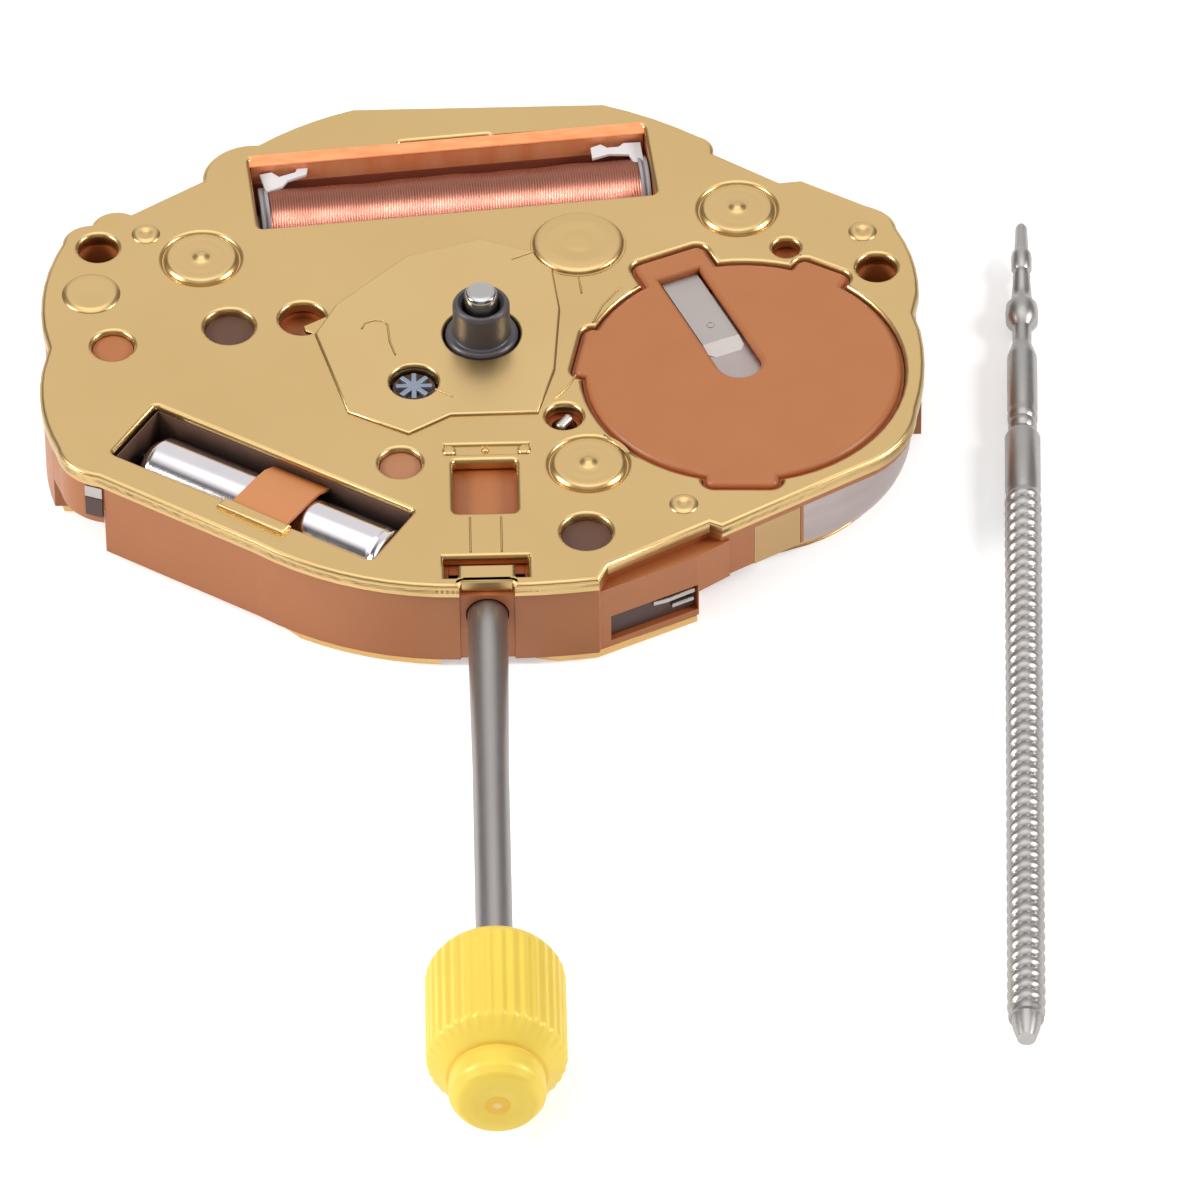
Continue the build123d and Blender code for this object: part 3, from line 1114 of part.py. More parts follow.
with BuildPart() as setting_wheel:
    with BuildSketch(level(minute_bottom)):
        toothed(setting_place, SETTING_TEETH, MOTION_MODULE, setting_phase)
        with Locations(setting_place):
            Circle(minute_bore, mode=Mode.SUBTRACT)
    extrude(amount=WHEEL_THICKNESS)
save(setting_wheel, "setting_wheel")

# Stem, crown and sliding pinion, all on the line of the stem
STEM_SHOULDER_RADIUS = 0.33
STEM_SHOULDER_LENGTH = 0.27
groove_front = STEM_GROOVE_PLACE - STEM_GROOVE_WIDTH / 2
groove_back = STEM_GROOVE_PLACE + STEM_GROOVE_WIDTH / 2
crown_bore_end = CROWN_START - CROWN_BORE_DEPTH
stem_taper_end = STEM_TAPER_START - STEM_TAPER_LENGTH
with BuildPart() as winding_stem:
    stem_turned(level(stem_height), (
        (crown_bore_end, stem_taper_end, STEM_OUTER_RADIUS, STEM_OUTER_RADIUS),
        (stem_taper_end, STEM_TAPER_START, STEM_OUTER_RADIUS, STEM_RADIUS),
        (STEM_TAPER_START, groove_front, STEM_RADIUS, STEM_RADIUS),
        (groove_front, groove_back, STEM_NECK_RADIUS, STEM_NECK_RADIUS),
        (groove_back, groove_back + STEM_SHOULDER_LENGTH, STEM_SHOULDER_RADIUS, STEM_SHOULDER_RADIUS),
    ))
    with BuildSketch(Plane.XZ.offset(-STEM_START)):
        with Locations((0, stem_height)):
            Rectangle(STEM_SQUARE_WIDTH, STEM_SQUARE_WIDTH)
    extrude(amount=STEM_START - groove_back)
save(winding_stem, "winding_stem")

CROWN_CHAMFER = 0.30
CROWN_RECESS_RADIUS = 0.55
CROWN_RECESS_DEPTH = 0.15
crown_body_end = CROWN_END + CROWN_BOSS_LENGTH
with BuildPart() as crown:
    stem_turned(level(stem_height), (
        (crown_body_end, crown_body_end + CROWN_CHAMFER, CROWN_RADIUS - CROWN_CHAMFER, CROWN_RADIUS),
        (crown_body_end + CROWN_CHAMFER, CROWN_START - CROWN_CHAMFER, CROWN_RADIUS, CROWN_RADIUS),
        (CROWN_START - CROWN_CHAMFER, CROWN_START, CROWN_RADIUS, CROWN_RADIUS - CROWN_CHAMFER),
        (CROWN_END, crown_body_end, CROWN_BOSS_RADIUS, CROWN_BOSS_RADIUS),
    ))
    with BuildSketch(Plane.XZ.offset(-CROWN_START)):
        with Locations((0, stem_height)):
            with PolarLocations(CROWN_RADIUS, CROWN_FLUTES):
                Circle(CROWN_FLUTE_DEPTH)
    extrude(amount=CROWN_START - crown_body_end, mode=Mode.SUBTRACT)
    with BuildSketch(Plane.XZ.offset(-CROWN_START)):
        with Locations((0, stem_height)):
            Circle(STEM_OUTER_RADIUS + FIT_GAP)
    extrude(amount=CROWN_BORE_DEPTH + FIT_GAP, mode=Mode.SUBTRACT)
    with BuildSketch(Plane.XZ.offset(-CROWN_END)):
        with Locations((0, stem_height)):
            Circle(CROWN_RECESS_RADIUS)
    extrude(amount=-CROWN_RECESS_DEPTH, mode=Mode.SUBTRACT)
save(crown, "crown")

pinion_end = SLIDING_PINION_START - SLIDING_PINION_LENGTH
SLIDING_TOOTH_WIDTH = 0.12
with BuildPart() as sliding_pinion:
    stem_turned(level(stem_height), (
        (pinion_end, pinion_groove_front, SLIDING_PINION_RADIUS, SLIDING_PINION_RADIUS),
        (pinion_groove_front, pinion_groove_back, SLIDING_PINION_NECK_RADIUS, SLIDING_PINION_NECK_RADIUS),
        (pinion_groove_back, SLIDING_PINION_START, SLIDING_PINION_RADIUS, SLIDING_PINION_RADIUS),
    ))
    with BuildSketch(Plane.XZ.offset(-SLIDING_PINION_START)):
        with Locations((0, stem_height)):
            with PolarLocations(SLIDING_PINION_RADIUS, SLIDING_PINION_TEETH):
                Rectangle(SLIDING_PINION_RADIUS, SLIDING_TOOTH_WIDTH)
    extrude(amount=SLIDING_PINION_TOOTH_DEPTH, mode=Mode.SUBTRACT)
    with BuildSketch(Plane.XZ.offset(-SLIDING_PINION_START)):
        with Locations((0, stem_height)):
            Rectangle(STEM_SQUARE_WIDTH + 2 * RUN_GAP, STEM_SQUARE_WIDTH + 2 * RUN_GAP)
    extrude(amount=SLIDING_PINION_LENGTH, mode=Mode.SUBTRACT)
save(sliding_pinion, "sliding_pinion")

# Pull piece that rides with the stem, its fork in the stem's groove
FORK_THICKNESS = 0.18
FORK_HALF_WIDTH = 0.60
FORK_DEPTH = 1.20
slide_top = frame_top - 2 * FIT_GAP
fork_slot_size = (2 * (STEM_NECK_RADIUS + RUN_GAP), FORK_DEPTH)
with BuildPart() as pull_piece:
    with BuildSketch(level(slide_top)):
        with Locations((0, (SLIDE_FRONT + SLIDE_BACK) / 2)):
            Rectangle(SLIDE_WIDTH, SLIDE_BACK - SLIDE_FRONT)
    extrude(amount=-SLIDE_THICKNESS)
    with BuildSketch(Plane.XZ.offset(-STEM_GROOVE_PLACE - FORK_THICKNESS / 2)):
        with Locations((0, slide_top)):
            Rectangle(2 * FORK_HALF_WIDTH, FORK_DEPTH - PLATE_THICKNESS, align=(Align.CENTER, Align.MAX))
        with Locations((0, stem_height)):
            Circle(STEM_NECK_RADIUS + RUN_GAP, mode=Mode.SUBTRACT)
            Rectangle(*fork_slot_size, align=(Align.CENTER, Align.MAX), mode=Mode.SUBTRACT)
    extrude(amount=FORK_THICKNESS)
save(pull_piece, "pull_piece")

# Yoke on its post, with its finger in the groove of the sliding pinion
YOKE_FINGER_RADIUS = 0.09
POST_HEAD_THICKNESS = 0.30
post_head_bottom = -PEG_TOP_DEPTH - POST_HEAD_THICKNESS
post_bottom = stem_height - YOKE_THICKNESS / 2 - SEAT_GAP
with BuildPart() as yoke:
    with BuildSketch(level(stem_height - YOKE_THICKNESS / 2)):
        strip(YOKE_PIVOT, yoke_tip, 2 * YOKE_FINGER_RADIUS)
        with Locations(YOKE_PIVOT):
            Circle(YOKE_HEAD_RADIUS)
            Circle(POST_RADIUS + RUN_GAP, mode=Mode.SUBTRACT)
    extrude(amount=YOKE_THICKNESS)
save(yoke, "yoke")

with BuildPart() as yoke_post:
    round_boss([YOKE_PIVOT], PEG_HOLE_RADIUS - FIT_GAP, post_head_bottom, POST_HEAD_THICKNESS)
    round_boss([YOKE_PIVOT], POST_RADIUS, post_bottom, post_head_bottom + YOKE_THICKNESS - post_bottom)
save(yoke_post, "yoke_post")

# Stop lever that brakes the centre wheel, with its tab turned up to the dial side
TAB_WIDTH = 0.20
TAB_LENGTH = 0.10
with BuildPart() as stop_lever:
    with BuildSketch(level(centre_bottom)):
        strip(STOP_PIVOT, STOP_TIP, STOP_WIDTH)
        strip(STOP_PIVOT, STOP_TAIL, STOP_WIDTH)
        strip((STOP_PIVOT[0], STOP_TAB[1]), STOP_TAB, STOP_WIDTH)
        with Locations(STOP_PIVOT):
            Circle(POST_RADIUS + STOP_WIDTH / 2)
            Circle(POST_RADIUS, mode=Mode.SUBTRACT)
    extrude(amount=WHEEL_THICKNESS)
    with BuildSketch(level(centre_bottom)):
        with Locations(STOP_TAB):
            Rectangle(TAB_LENGTH, TAB_WIDTH)
    extrude(amount=frame_top + SEAT_GAP - centre_bottom)
save(stop_lever, "stop_lever")

# Loose spare stem beside the movement, lying on the surface that the movement lies on
spare_height = back_face + SPARE_THREAD_RADIUS
spare_plane = Plane(
    origin=(*SPARE_START, spare_height),
    x_dir=(cos(radians(SPARE_TILT)), sin(radians(SPARE_TILT)), 0),
    z_dir=(0, 0, 1),
)
spare_cuts = []
spare_here = 0
for spare_length, far_radius, near_radius in SPARE_SECTIONS:
    spare_cuts.append((spare_here - spare_length, spare_here, near_radius, far_radius))
    spare_here -= spare_length
spare_cuts.append((spare_here - SPARE_THREAD_LENGTH, spare_here, SPARE_THREAD_RADIUS, SPARE_THREAD_RADIUS))
spare_here -= SPARE_THREAD_LENGTH
spare_cuts.append((spare_here - SPARE_TIP_LENGTH, spare_here, SPARE_THREAD_RADIUS / 2, SPARE_THREAD_RADIUS))
with BuildPart() as spare_stem:
    stem_turned(spare_plane, spare_cuts)
save(spare_stem, "spare_stem")
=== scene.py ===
"""Studio scene of a two-hand quartz watch movement with a loose spare stem beside it."""
import json
import math

import bmesh
import bpy
from mathutils import Matrix, Vector


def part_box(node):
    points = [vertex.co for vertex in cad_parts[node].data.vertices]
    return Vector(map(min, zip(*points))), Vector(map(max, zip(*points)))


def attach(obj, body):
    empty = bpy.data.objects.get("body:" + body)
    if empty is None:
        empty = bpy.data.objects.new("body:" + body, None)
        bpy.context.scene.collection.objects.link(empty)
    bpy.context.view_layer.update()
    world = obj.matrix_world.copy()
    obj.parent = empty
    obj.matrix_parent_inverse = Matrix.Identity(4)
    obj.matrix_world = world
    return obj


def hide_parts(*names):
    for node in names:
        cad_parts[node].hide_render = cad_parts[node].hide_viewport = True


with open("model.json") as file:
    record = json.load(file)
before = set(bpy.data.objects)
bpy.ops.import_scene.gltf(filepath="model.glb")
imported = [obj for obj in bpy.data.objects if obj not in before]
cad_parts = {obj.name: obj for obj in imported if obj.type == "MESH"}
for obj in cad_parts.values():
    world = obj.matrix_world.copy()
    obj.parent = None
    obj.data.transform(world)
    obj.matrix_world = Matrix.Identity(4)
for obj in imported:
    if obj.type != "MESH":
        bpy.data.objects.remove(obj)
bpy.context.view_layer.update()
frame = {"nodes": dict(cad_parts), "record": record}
nodes = frame["nodes"]

MM = 0.001
BODY = "movement"
FINE_SEGMENTS = 96
SHARP_ANGLE = math.radians(32)


# Materials

def linear(colour):
    """Linear values of a colour given as screen values from 0 to 255."""
    values = []
    for value in colour:
        share = value / 255
        values.append(share / 12.92 if share <= 0.04045 else ((share + 0.055) / 1.055) ** 2.4)
    return (*values, 1.0)


def node(tree, kind, **settings):
    """New shader node with its settings, by socket name or attribute."""
    made = tree.nodes.new(kind)
    for name, value in settings.items():
        if hasattr(made, name):
            setattr(made, name, value)
        else:
            made.inputs[name.replace("_", " ").title()].default_value = value
    return made


def coordinates(tree, stretch):
    """Object coordinates in millimetres, stretched along each axis."""
    place = tree.nodes.new("ShaderNodeTexCoord")
    scale = node(tree, "ShaderNodeVectorMath", operation="MULTIPLY")
    scale.inputs[1].default_value = [value / MM for value in stretch]
    tree.links.new(place.outputs["Object"], scale.inputs[0])
    return scale.outputs[0]


def fed(tree, socket, value):
    """Give a socket a number, a colour or another node's output."""
    if isinstance(value, (float, tuple)):
        socket.default_value = value
    else:
        tree.links.new(value, socket)


def ranged(tree, value, start, end, low=0.0, high=1.0, kind="LINEAR"):
    """Change from one level to another as a value passes from its start to its end."""
    change = node(tree, "ShaderNodeMapRange", interpolation_type=kind)
    for name, number in zip(("From Min", "From Max", "To Min", "To Max"), (start, end, low, high)):
        change.inputs[name].default_value = number
    tree.links.new(value, change.inputs["Value"])
    return change.outputs["Result"]


def mixed(tree, share, first, second, kind="RGBA"):
    """One colour or value or the other, by a share."""
    mix = node(tree, "ShaderNodeMix", data_type=kind)
    for name, value in (("Factor", share), ("A", first), ("B", second)):
        fed(tree, mix.inputs[name], value)
    return mix.outputs["Result"]


def calculated(tree, operation, *values):
    """Result of an operation on one or two values."""
    result = node(tree, "ShaderNodeMath", operation=operation)
    for socket, value in zip(result.inputs, values):
        fed(tree, socket, value)
    return result.outputs[0]


def turned_shaded(tree, base, colour, direction, low, high):
    """Base colour, and a colour of painted shade that takes over where a surface turns towards a direction.
    """
    surface = node(tree, "ShaderNodeNewGeometry")
    facing = node(tree, "ShaderNodeVectorMath", operation="DOT_PRODUCT")
    facing.inputs[1].default_value = direction
    tree.links.new(surface.outputs["Normal"], facing.inputs[0])
    return mixed(tree, ranged(tree, facing.outputs["Value"], low, high), base, linear(colour))


CORNER_SAMPLES = 8
CORNER_SPAN = (0.25, 0.9)
RELIEF_DEPTH = 0.02


def finish(name, colour, second, metallic, roughness, grain=9.0, stretch=(1, 1, 1), bump=0.05,
           wear=0.25, shade=None, shade_reach=0.35, clouds=0.8, turned_shade=None):
    """Material with cloudy colour, uneven gloss and fine grain.

    shade darkens its corners within a reach as painted shade, and turned_shade paints shade on the faces
    turned one way."""
    material = bpy.data.materials.new(name)
    material.use_nodes = True
    tree = material.node_tree
    shader = tree.nodes["Principled BSDF"]
    shader.inputs["Metallic"].default_value = metallic
    place = coordinates(tree, stretch)
    cloud = node(tree, "ShaderNodeTexNoise", scale=clouds, detail=3.0)
    grains = node(tree, "ShaderNodeTexNoise", scale=grain, detail=4.0, roughness=0.65)
    tree.links.new(place, cloud.inputs["Vector"])
    tree.links.new(place, grains.inputs["Vector"])
    result = mixed(tree, cloud.outputs["Fac"], linear(colour), linear(second))
    # painted shade on the faces turned one way
    if turned_shade:
        result = turned_shaded(tree, result, *turned_shade)
    if shade:
        corner = node(tree, "ShaderNodeAmbientOcclusion", samples=CORNER_SAMPLES)
        corner.inputs["Distance"].default_value = shade_reach * MM
        result = mixed(tree, ranged(tree, corner.outputs["AO"], *CORNER_SPAN), linear(shade), result)
    tree.links.new(result, shader.inputs["Base Color"])
    levels = (roughness * (1 - wear), roughness * (1 + wear))
    tree.links.new(ranged(tree, grains.outputs["Fac"], 0.0, 1.0, *levels), shader.inputs["Roughness"])
    relief = node(tree, "ShaderNodeBump", strength=bump, distance=RELIEF_DEPTH * MM)
    tree.links.new(grains.outputs["Fac"], relief.inputs["Height"])
    tree.links.new(relief.outputs["Normal"], shader.inputs["Normal"])
    return material


# Each finish: its colour and second colour, its metallic share, its roughness and what else it needs.
# The first ones are named by the CAD nodes, the others are looks of single pieces.
GILT = dict(grain=14.0, bump=0.02, wear=0.10, clouds=0.25)
FINISHES = {
    "plate_gold": ((203, 171, 116), (214, 182, 128), 1.0, 0.32, GILT),
    "frame_plastic": ((174, 108, 61), (166, 100, 55), 0.0, 0.42,
                      dict(shade=(150, 66, 24), shade_reach=0.45, bump=0.08)),
    "bridge_gold": ((222, 184, 124), (214, 174, 112), 1.0, 0.38, dict(bump=0.08)),
    "wheel_brass": ((214, 180, 110), (200, 164, 94), 1.0, 0.21, {}),
    "pinion_steel": ((120, 124, 132), (92, 94, 100), 1.0, 0.38, {}),
    "hour_post": ((96, 91, 93), (78, 74, 77), 0.45, 0.40, dict(grain=20.0)),
    "stem_steel": ((172, 166, 163), (150, 145, 142), 1.0, 0.40, dict(stretch=(6, 0.25, 6))),
    "crown_gold": ((240, 211, 86), (234, 200, 72), 0.1, 0.44,
                   dict(bump=0.04, shade=(226, 160, 40), shade_reach=0.6)),
    "cell_steel": ((188, 176, 172), (164, 152, 150), 1.0, 0.38, dict(stretch=(1, 1, 4), bump=0.12)),
    "strip_silver": ((190, 182, 177), (172, 164, 160), 1.0, 0.38, {}),
    # The coil's wire, with painted shade on its top and far side, its near side left pink
    "winding_copper": ((248, 172, 152), (230, 142, 122), 0.75, 0.38,
                       dict(grain=26.0, stretch=(2.2, 0.3, 0.3), bump=0.10,
                            turned_shade=((158, 102, 84), (-0.0993, 0.9951, 0), -0.64, -0.30))),
    "iron_soft": ((150, 148, 148), (128, 126, 126), 1.0, 0.4, {}),
    "flange_plastic": ((176, 170, 174), (140, 134, 140), 0.0, 0.4, {}),
    "tab_white": ((226, 222, 222), (208, 202, 204), 0.0, 0.5, {}),
    "can_silver": ((224, 220, 222), (212, 206, 210), 1.0, 0.13, dict(bump=0.02)),
    "strap_orange": ((202, 134, 82), (192, 120, 70), 0.0, 0.38, dict(shade=(176, 92, 34))),
    "board_green": ((44, 92, 62), (34, 74, 50), 0.0, 0.35, {}),
    "chip_black": ((26, 26, 28), (18, 18, 20), 0.0, 0.3, {}),
    "magnet_dark": ((66, 64, 64), (54, 52, 52), 0.2, 0.5, {}),
    "screw_steel": ((190, 188, 186), (172, 170, 168), 1.0, 0.20, {}),
    "spacer_pale": ((198, 160, 106), (188, 148, 96), 0.0, 0.45, {}),
    "peg_brown": ((176, 122, 84), (162, 106, 70), 0.0, 0.45, dict(shade=(120, 62, 34))),
    # Painted shade on the walls of the crystal's bay, darkest in its corners
    "crystal_bay_painted_shade": ((124, 90, 72), (102, 74, 60), 0.0, 0.5, dict(shade=(40, 26, 22), shade_reach=0.5)),
    # Bright orange that paints light falling on the far wall of the coil's bay, with painted shade in its
    # corners
    "coil_bay_painted_light": ((255, 190, 140), (244, 132, 74), 0.25, 0.38,
                   dict(stretch=(3, 3, 0.6), bump=0.2, shade=(170, 60, 24), shade_reach=0.2)),
    "star_steel": ((150, 160, 176), (120, 130, 146), 0.6, 0.4, {}),
    "crown_core": ((238, 192, 62), (232, 182, 52), 0.1, 0.40, {}),
    "crown_dot": ((240, 210, 130), (232, 200, 118), 0.1, 0.40, {}),
    # Lighter copy of the plate's gilt: a painted sheen for the raised panel
    "panel_painted_sheen": ((208, 176, 121), (218, 187, 133), 1.0, 0.32, GILT),
    # Painted shade for the floors of the holes that show dark
    "hole_painted_shade": ((94, 58, 40), (78, 48, 34), 0.0, 0.5, {}),
    "thread_steel": ((178, 174, 171), (158, 154, 151), 1.0, 0.38,
                     dict(shade=(112, 106, 102), shade_reach=0.12)),
    "lip_orange": ((246, 168, 118), (224, 118, 68), 0.7, 0.38,
                   dict(stretch=(1.2, 5, 5), bump=0.15, clouds=1.6)),
    # Painted shade on the lower far wall of the coil's bay
    "coil_bay_painted_shade": ((158, 86, 62), (132, 66, 46), 0.0, 0.5, {}),
    # Painted shade for the dark slot, the hollow under the corner clip and the minute pinion's hole
    "painted_recess_shade": ((84, 60, 54), (66, 46, 42), 0.0, 0.45, {}),
}
materials = {slot: finish(slot, *spec[:-1], **spec[-1]) for slot, spec in FINISHES.items()}
slot_of = {entry["node"]: entry["material_slot"] for entry in frame["record"]["subparts"]}
for name, cad in nodes.items():
    cad.data.materials.clear()
    cad.data.materials.append(materials[slot_of[name]])


# Pieces

LEVEL_SHARE = 0.9999
CORNER_STEPS = 4
BEVEL_STEPS = 4
SHEET_WELD = 0.0002
LOOP_WELD = 0.0005
LEVEL_GAP = 0.002
SLAB_BEVEL = 0.01
FINE_ROUNDING = 0.004
FEWEST_SIDES = 8
ROUND_SHARE = 0.02


def weigh_normals(piece):
    """Normals that follow the large faces, so flat places stay flat beside a rounded edge."""
    weigh = piece.modifiers.new("weigh", "WEIGHTED_NORMAL")
    weigh.keep_sharp = True
    weigh.weight = 100
    bpy.context.view_layer.update()
    seen = piece.evaluated_get(bpy.context.evaluated_depsgraph_get())
    weighed = bpy.data.meshes.new_from_object(seen)
    plain = piece.data
    piece.modifiers.remove(weigh)
    piece.data = weighed
    bpy.data.meshes.remove(plain)
    weighed.name = piece.name


def add_piece(name, mesh, slot, body=BODY, replaced=(), look=None):
    """Object made of a mesh, with its finish, its body and the CAD nodes that it stands for."""
    piece = bpy.data.objects.new(name, mesh)
    bpy.context.scene.collection.objects.link(piece)
    mesh.materials.clear()
    mesh.materials.append(materials[look or slot])
    for face in mesh.polygons:
        face.use_smooth = True
    mesh.set_sharp_from_angle(angle=SHARP_ANGLE)
    weigh_normals(piece)
    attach(piece, body)
    if replaced:
        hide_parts(*replaced)
    return piece


def corner_curve(before, corner, after, radius):
    """Points of the small curve that rounds a corner."""
    before, corner, after = Vector(before), Vector(corner), Vector(after)
    start = corner + (before - corner).normalized() * min(radius, (before - corner).length / 2)
    end = corner + (after - corner).normalized() * min(radius, (after - corner).length / 2)
    shares = [step / CORNER_STEPS for step in range(CORNER_STEPS + 1)]
    return [start.lerp(corner, share).lerp(corner.lerp(end, share), share) for share in shares]


def softened(points, radius):
    """Open profile with each inner corner rounded."""
    result = [Vector(points[0])]
    for corner in zip(points, points[1:], points[2:]):
        result += corner_curve(*corner, radius)
    return result + [Vector(points[-1])]


def mended(mesh, weld=0.0, bevel=0.0):
    """The mesh with its faces turned outwards, and its points welded or its edges bevelled by a length."""
    work = bmesh.new()
    work.from_mesh(mesh)
    if weld:
        bmesh.ops.remove_doubles(work, verts=work.verts, dist=weld * MM)
    bmesh.ops.recalc_face_normals(work, faces=work.faces)
    if bevel:
        bmesh.ops.bevel(work, geom=work.edges[:], offset=bevel * MM, segments=2, affect="EDGES")
    work.to_mesh(mesh)
    work.free()
    return mesh


def add_line(curve, points, cyclic=False):
    """Straight stretches through points in millimetres, added to a curve."""
    spline = curve.splines.new("POLY")
    spline.points.add(len(points) - 1)
    for point, place in zip(spline.points, points):
        point.co = (*[value * MM for value in place], 1)
    spline.use_cyclic_u = cyclic


def curve_mesh(curve, name):
    """Mesh of a curve, which is then removed."""
    carrier = bpy.data.objects.new(name, curve)
    bpy.context.scene.collection.objects.link(carrier)
    bpy.context.view_layer.update()
    mesh = bpy.data.meshes.new_from_object(carrier.evaluated_get(bpy.context.evaluated_depsgraph_get()))
    bpy.data.objects.remove(carrier)
    bpy.data.curves.remove(curve)
    mesh.name = name
    return mesh


def lathe_mesh(name, profile, origin, direction, segments=FINE_SEGMENTS, wave=None):
    """Mesh of a profile of (distance along, radius) points turned about a line, in millimetres.

    A profile that starts and ends on the line is a solid, and any other is closed into a ring.
    wave changes a radius by the distance along and the angle."""
    along = Vector(direction).normalized()
    side = along.orthogonal().normalized()
    across = along.cross(side)
    rings, vertices, faces = [], [], []
    for distance, radius in profile:
        if radius <= 0:
            rings.append([len(vertices)])
            vertices.append(Vector(origin) + along * distance)
            continue
        ring = []
        for index in range(segments):
            angle = 2 * math.pi * index / segments
            reach = radius + (wave(distance, angle) if wave else 0)
            ring.append(len(vertices))
            spoke = side * math.cos(angle) + across * math.sin(angle)
            vertices.append(Vector(origin) + along * distance + spoke * reach)
        rings.append(ring)
    pairs = list(zip(rings, rings[1:]))
    if len(rings[0]) > 1 and len(rings[-1]) > 1:
        pairs.append((rings[-1], rings[0]))
    for low, high in pairs:
        for index in range(segments):
            following = (index + 1) % segments
            corners = [low[index % len(low)], low[following % len(low)],
                       high[following % len(high)], high[index % len(high)]]
            faces.append(list(dict.fromkeys(corners)))
    mesh = bpy.data.meshes.new(name)
    mesh.from_pydata([vertex * MM for vertex in vertices], [], [face for face in faces if len(face) > 2])
    mesh.update()
    return mended(mesh)


def lathe(name, profile, place, slot, direction=(0, 0, 1), rounding=0.0, body=BODY, replaced=(),
          look=None, **options):
    """Turned piece, its profile's corners rounded."""
    points = softened(profile, rounding) if rounding else [Vector(point) for point in profile]
    mesh = lathe_mesh(name, points, place, direction, **options)
    return add_piece(name, mesh, slot, body, replaced, look)


def sheet_mesh(name, loops, bottom, top, rounding, inset=0.0):
    """Mesh of a flat sheet between two heights, its loops in millimetres and all its edges rounded."""
    curve = bpy.data.curves.new(name, "CURVE")
    curve.dimensions = "2D"
    curve.fill_mode = "BOTH"
    curve.extrude = ((top - bottom) / 2 - rounding) * MM
    curve.bevel_depth = rounding * MM
    curve.bevel_resolution = BEVEL_STEPS
    curve.offset = -(rounding + inset) * MM
    for loop in loops:
        add_line(curve, [(x, y, 0) for x, y in loop], cyclic=True)
    mesh = curve_mesh(curve, name)
    mesh.transform(Matrix.Translation((0, 0, (top + bottom) / 2 * MM)))
    return mended(mesh, weld=SHEET_WELD)


def level_normals(mesh):
    """Normals of the level faces, carried on to the rounded rims that meet them."""
    normals = [corner.vector.copy() for corner in mesh.corner_normals]
    level = {}
    for face in mesh.polygons:
        if abs(face.normal.z) > LEVEL_SHARE:
            for vertex in face.vertices:
                level[vertex] = face.normal.copy()
    for index, corner in enumerate(mesh.loops):
        normals[index] = level.get(corner.vertex_index, normals[index])
    mesh.normals_split_custom_set(normals)


def sheet(name, loops, bottom, top, slot, rounding=0.02, body=BODY, replaced=(), inset=0.0, look=None):
    """Flat piece with rounded edges, its loops drawn in by an inset."""
    mesh = sheet_mesh(name, loops, bottom, top, rounding, inset)
    piece = add_piece(name, mesh, slot, body, replaced, look)
    level_normals(piece.data)
    return piece


def slab(name, points, thickness, slot, replaced=(), look=None):
    """Flat or folded piece under a loop of points, in millimetres."""
    top = [Vector(point) for point in points]
    below = [point - Vector((0, 0, thickness)) for point in top]
    count = len(top)
    faces = [tuple(range(count)), tuple(reversed(range(count, 2 * count)))]
    for index in range(count):
        following = (index + 1) % count
        faces.append((index, index + count, following + count, following))
    mesh = bpy.data.meshes.new(name)
    mesh.from_pydata([point * MM for point in top + below], [], faces)
    return add_piece(name, mended(mesh, bevel=SLAB_BEVEL), slot, replaced=replaced, look=look)


def wire(name, points, radius, slot):
    """Thin round piece along a line of points, in millimetres."""
    curve = bpy.data.curves.new(name, "CURVE")
    curve.dimensions = "3D"
    curve.bevel_depth = radius * MM
    curve.bevel_resolution = BEVEL_STEPS
    curve.use_fill_caps = True
    add_line(curve, points)
    return add_piece(name, curve_mesh(curve, name), slot)


def circle(place, radius):
    """Loop of points round a place."""
    turns = [2 * math.pi * index / FINE_SEGMENTS for index in range(FINE_SEGMENTS)]
    return [(place[0] + radius * math.cos(turn), place[1] + radius * math.sin(turn)) for turn in turns]


def level_loops(name, height):
    """Loops that bound a node's flat faces at a height, in millimetres."""
    work = bmesh.new()
    work.from_mesh(nodes[name].data)
    bmesh.ops.remove_doubles(work, verts=work.verts, dist=LOOP_WELD * MM)
    flat = {face for face in work.faces
            if all(abs(vertex.co.z / MM - height) < LEVEL_GAP for vertex in face.verts)}
    links = {}
    for edge in work.edges:
        if sum(face in flat for face in edge.link_faces) == 1:
            for here, there in (edge.verts, reversed(edge.verts)):
                links.setdefault(here, []).append(there)
    loops = []
    while links:
        start = next(iter(links))
        loop, here = [], start
        while here in links:
            choices = links.pop(here)
            loop.append((here.co.x / MM, here.co.y / MM))
            following = [choice for choice in choices if choice in links]
            if not following:
                break
            here = following[0]
        if len(loop) > 2:
            loops.append(loop)
    work.free()
    return loops


def middle(loop):
    """Middle of a loop's box."""
    across = [point[0] for point in loop]
    along = [point[1] for point in loop]
    return (min(across) + max(across)) / 2, (min(along) + max(along)) / 2


def reach(loop):
    """Largest distance of a loop from its middle."""
    centre = middle(loop)
    return max(math.dist(centre, point) for point in loop)


def refined(loop):
    """The loop, drawn finer where it is a circle."""
    centre = middle(loop)
    distances = [math.dist(centre, point) for point in loop]
    if len(loop) >= FEWEST_SIDES and max(distances) - min(distances) < ROUND_SHARE * max(distances):
        return circle(centre, max(distances))
    return loop


def eased(loop, radius):
    """The loop with each of its corners rounded."""
    corners = zip([loop[-1]] + loop[:-1], loop, loop[1:] + [loop[0]])
    return [tuple(point) for corner in corners for point in corner_curve(*corner, radius)]


def polar(origin, distance, angle):
    """Point at a distance and an angle in degrees from an origin."""
    return (origin[0] + distance * math.cos(math.radians(angle)),
            origin[1] + distance * math.sin(math.radians(angle)))


# Places read from the frame, in millimetres

def node_box(name):
    """Lowest and highest corners of a node, in millimetres."""
    low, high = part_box(name)
    return low / MM, high / MM


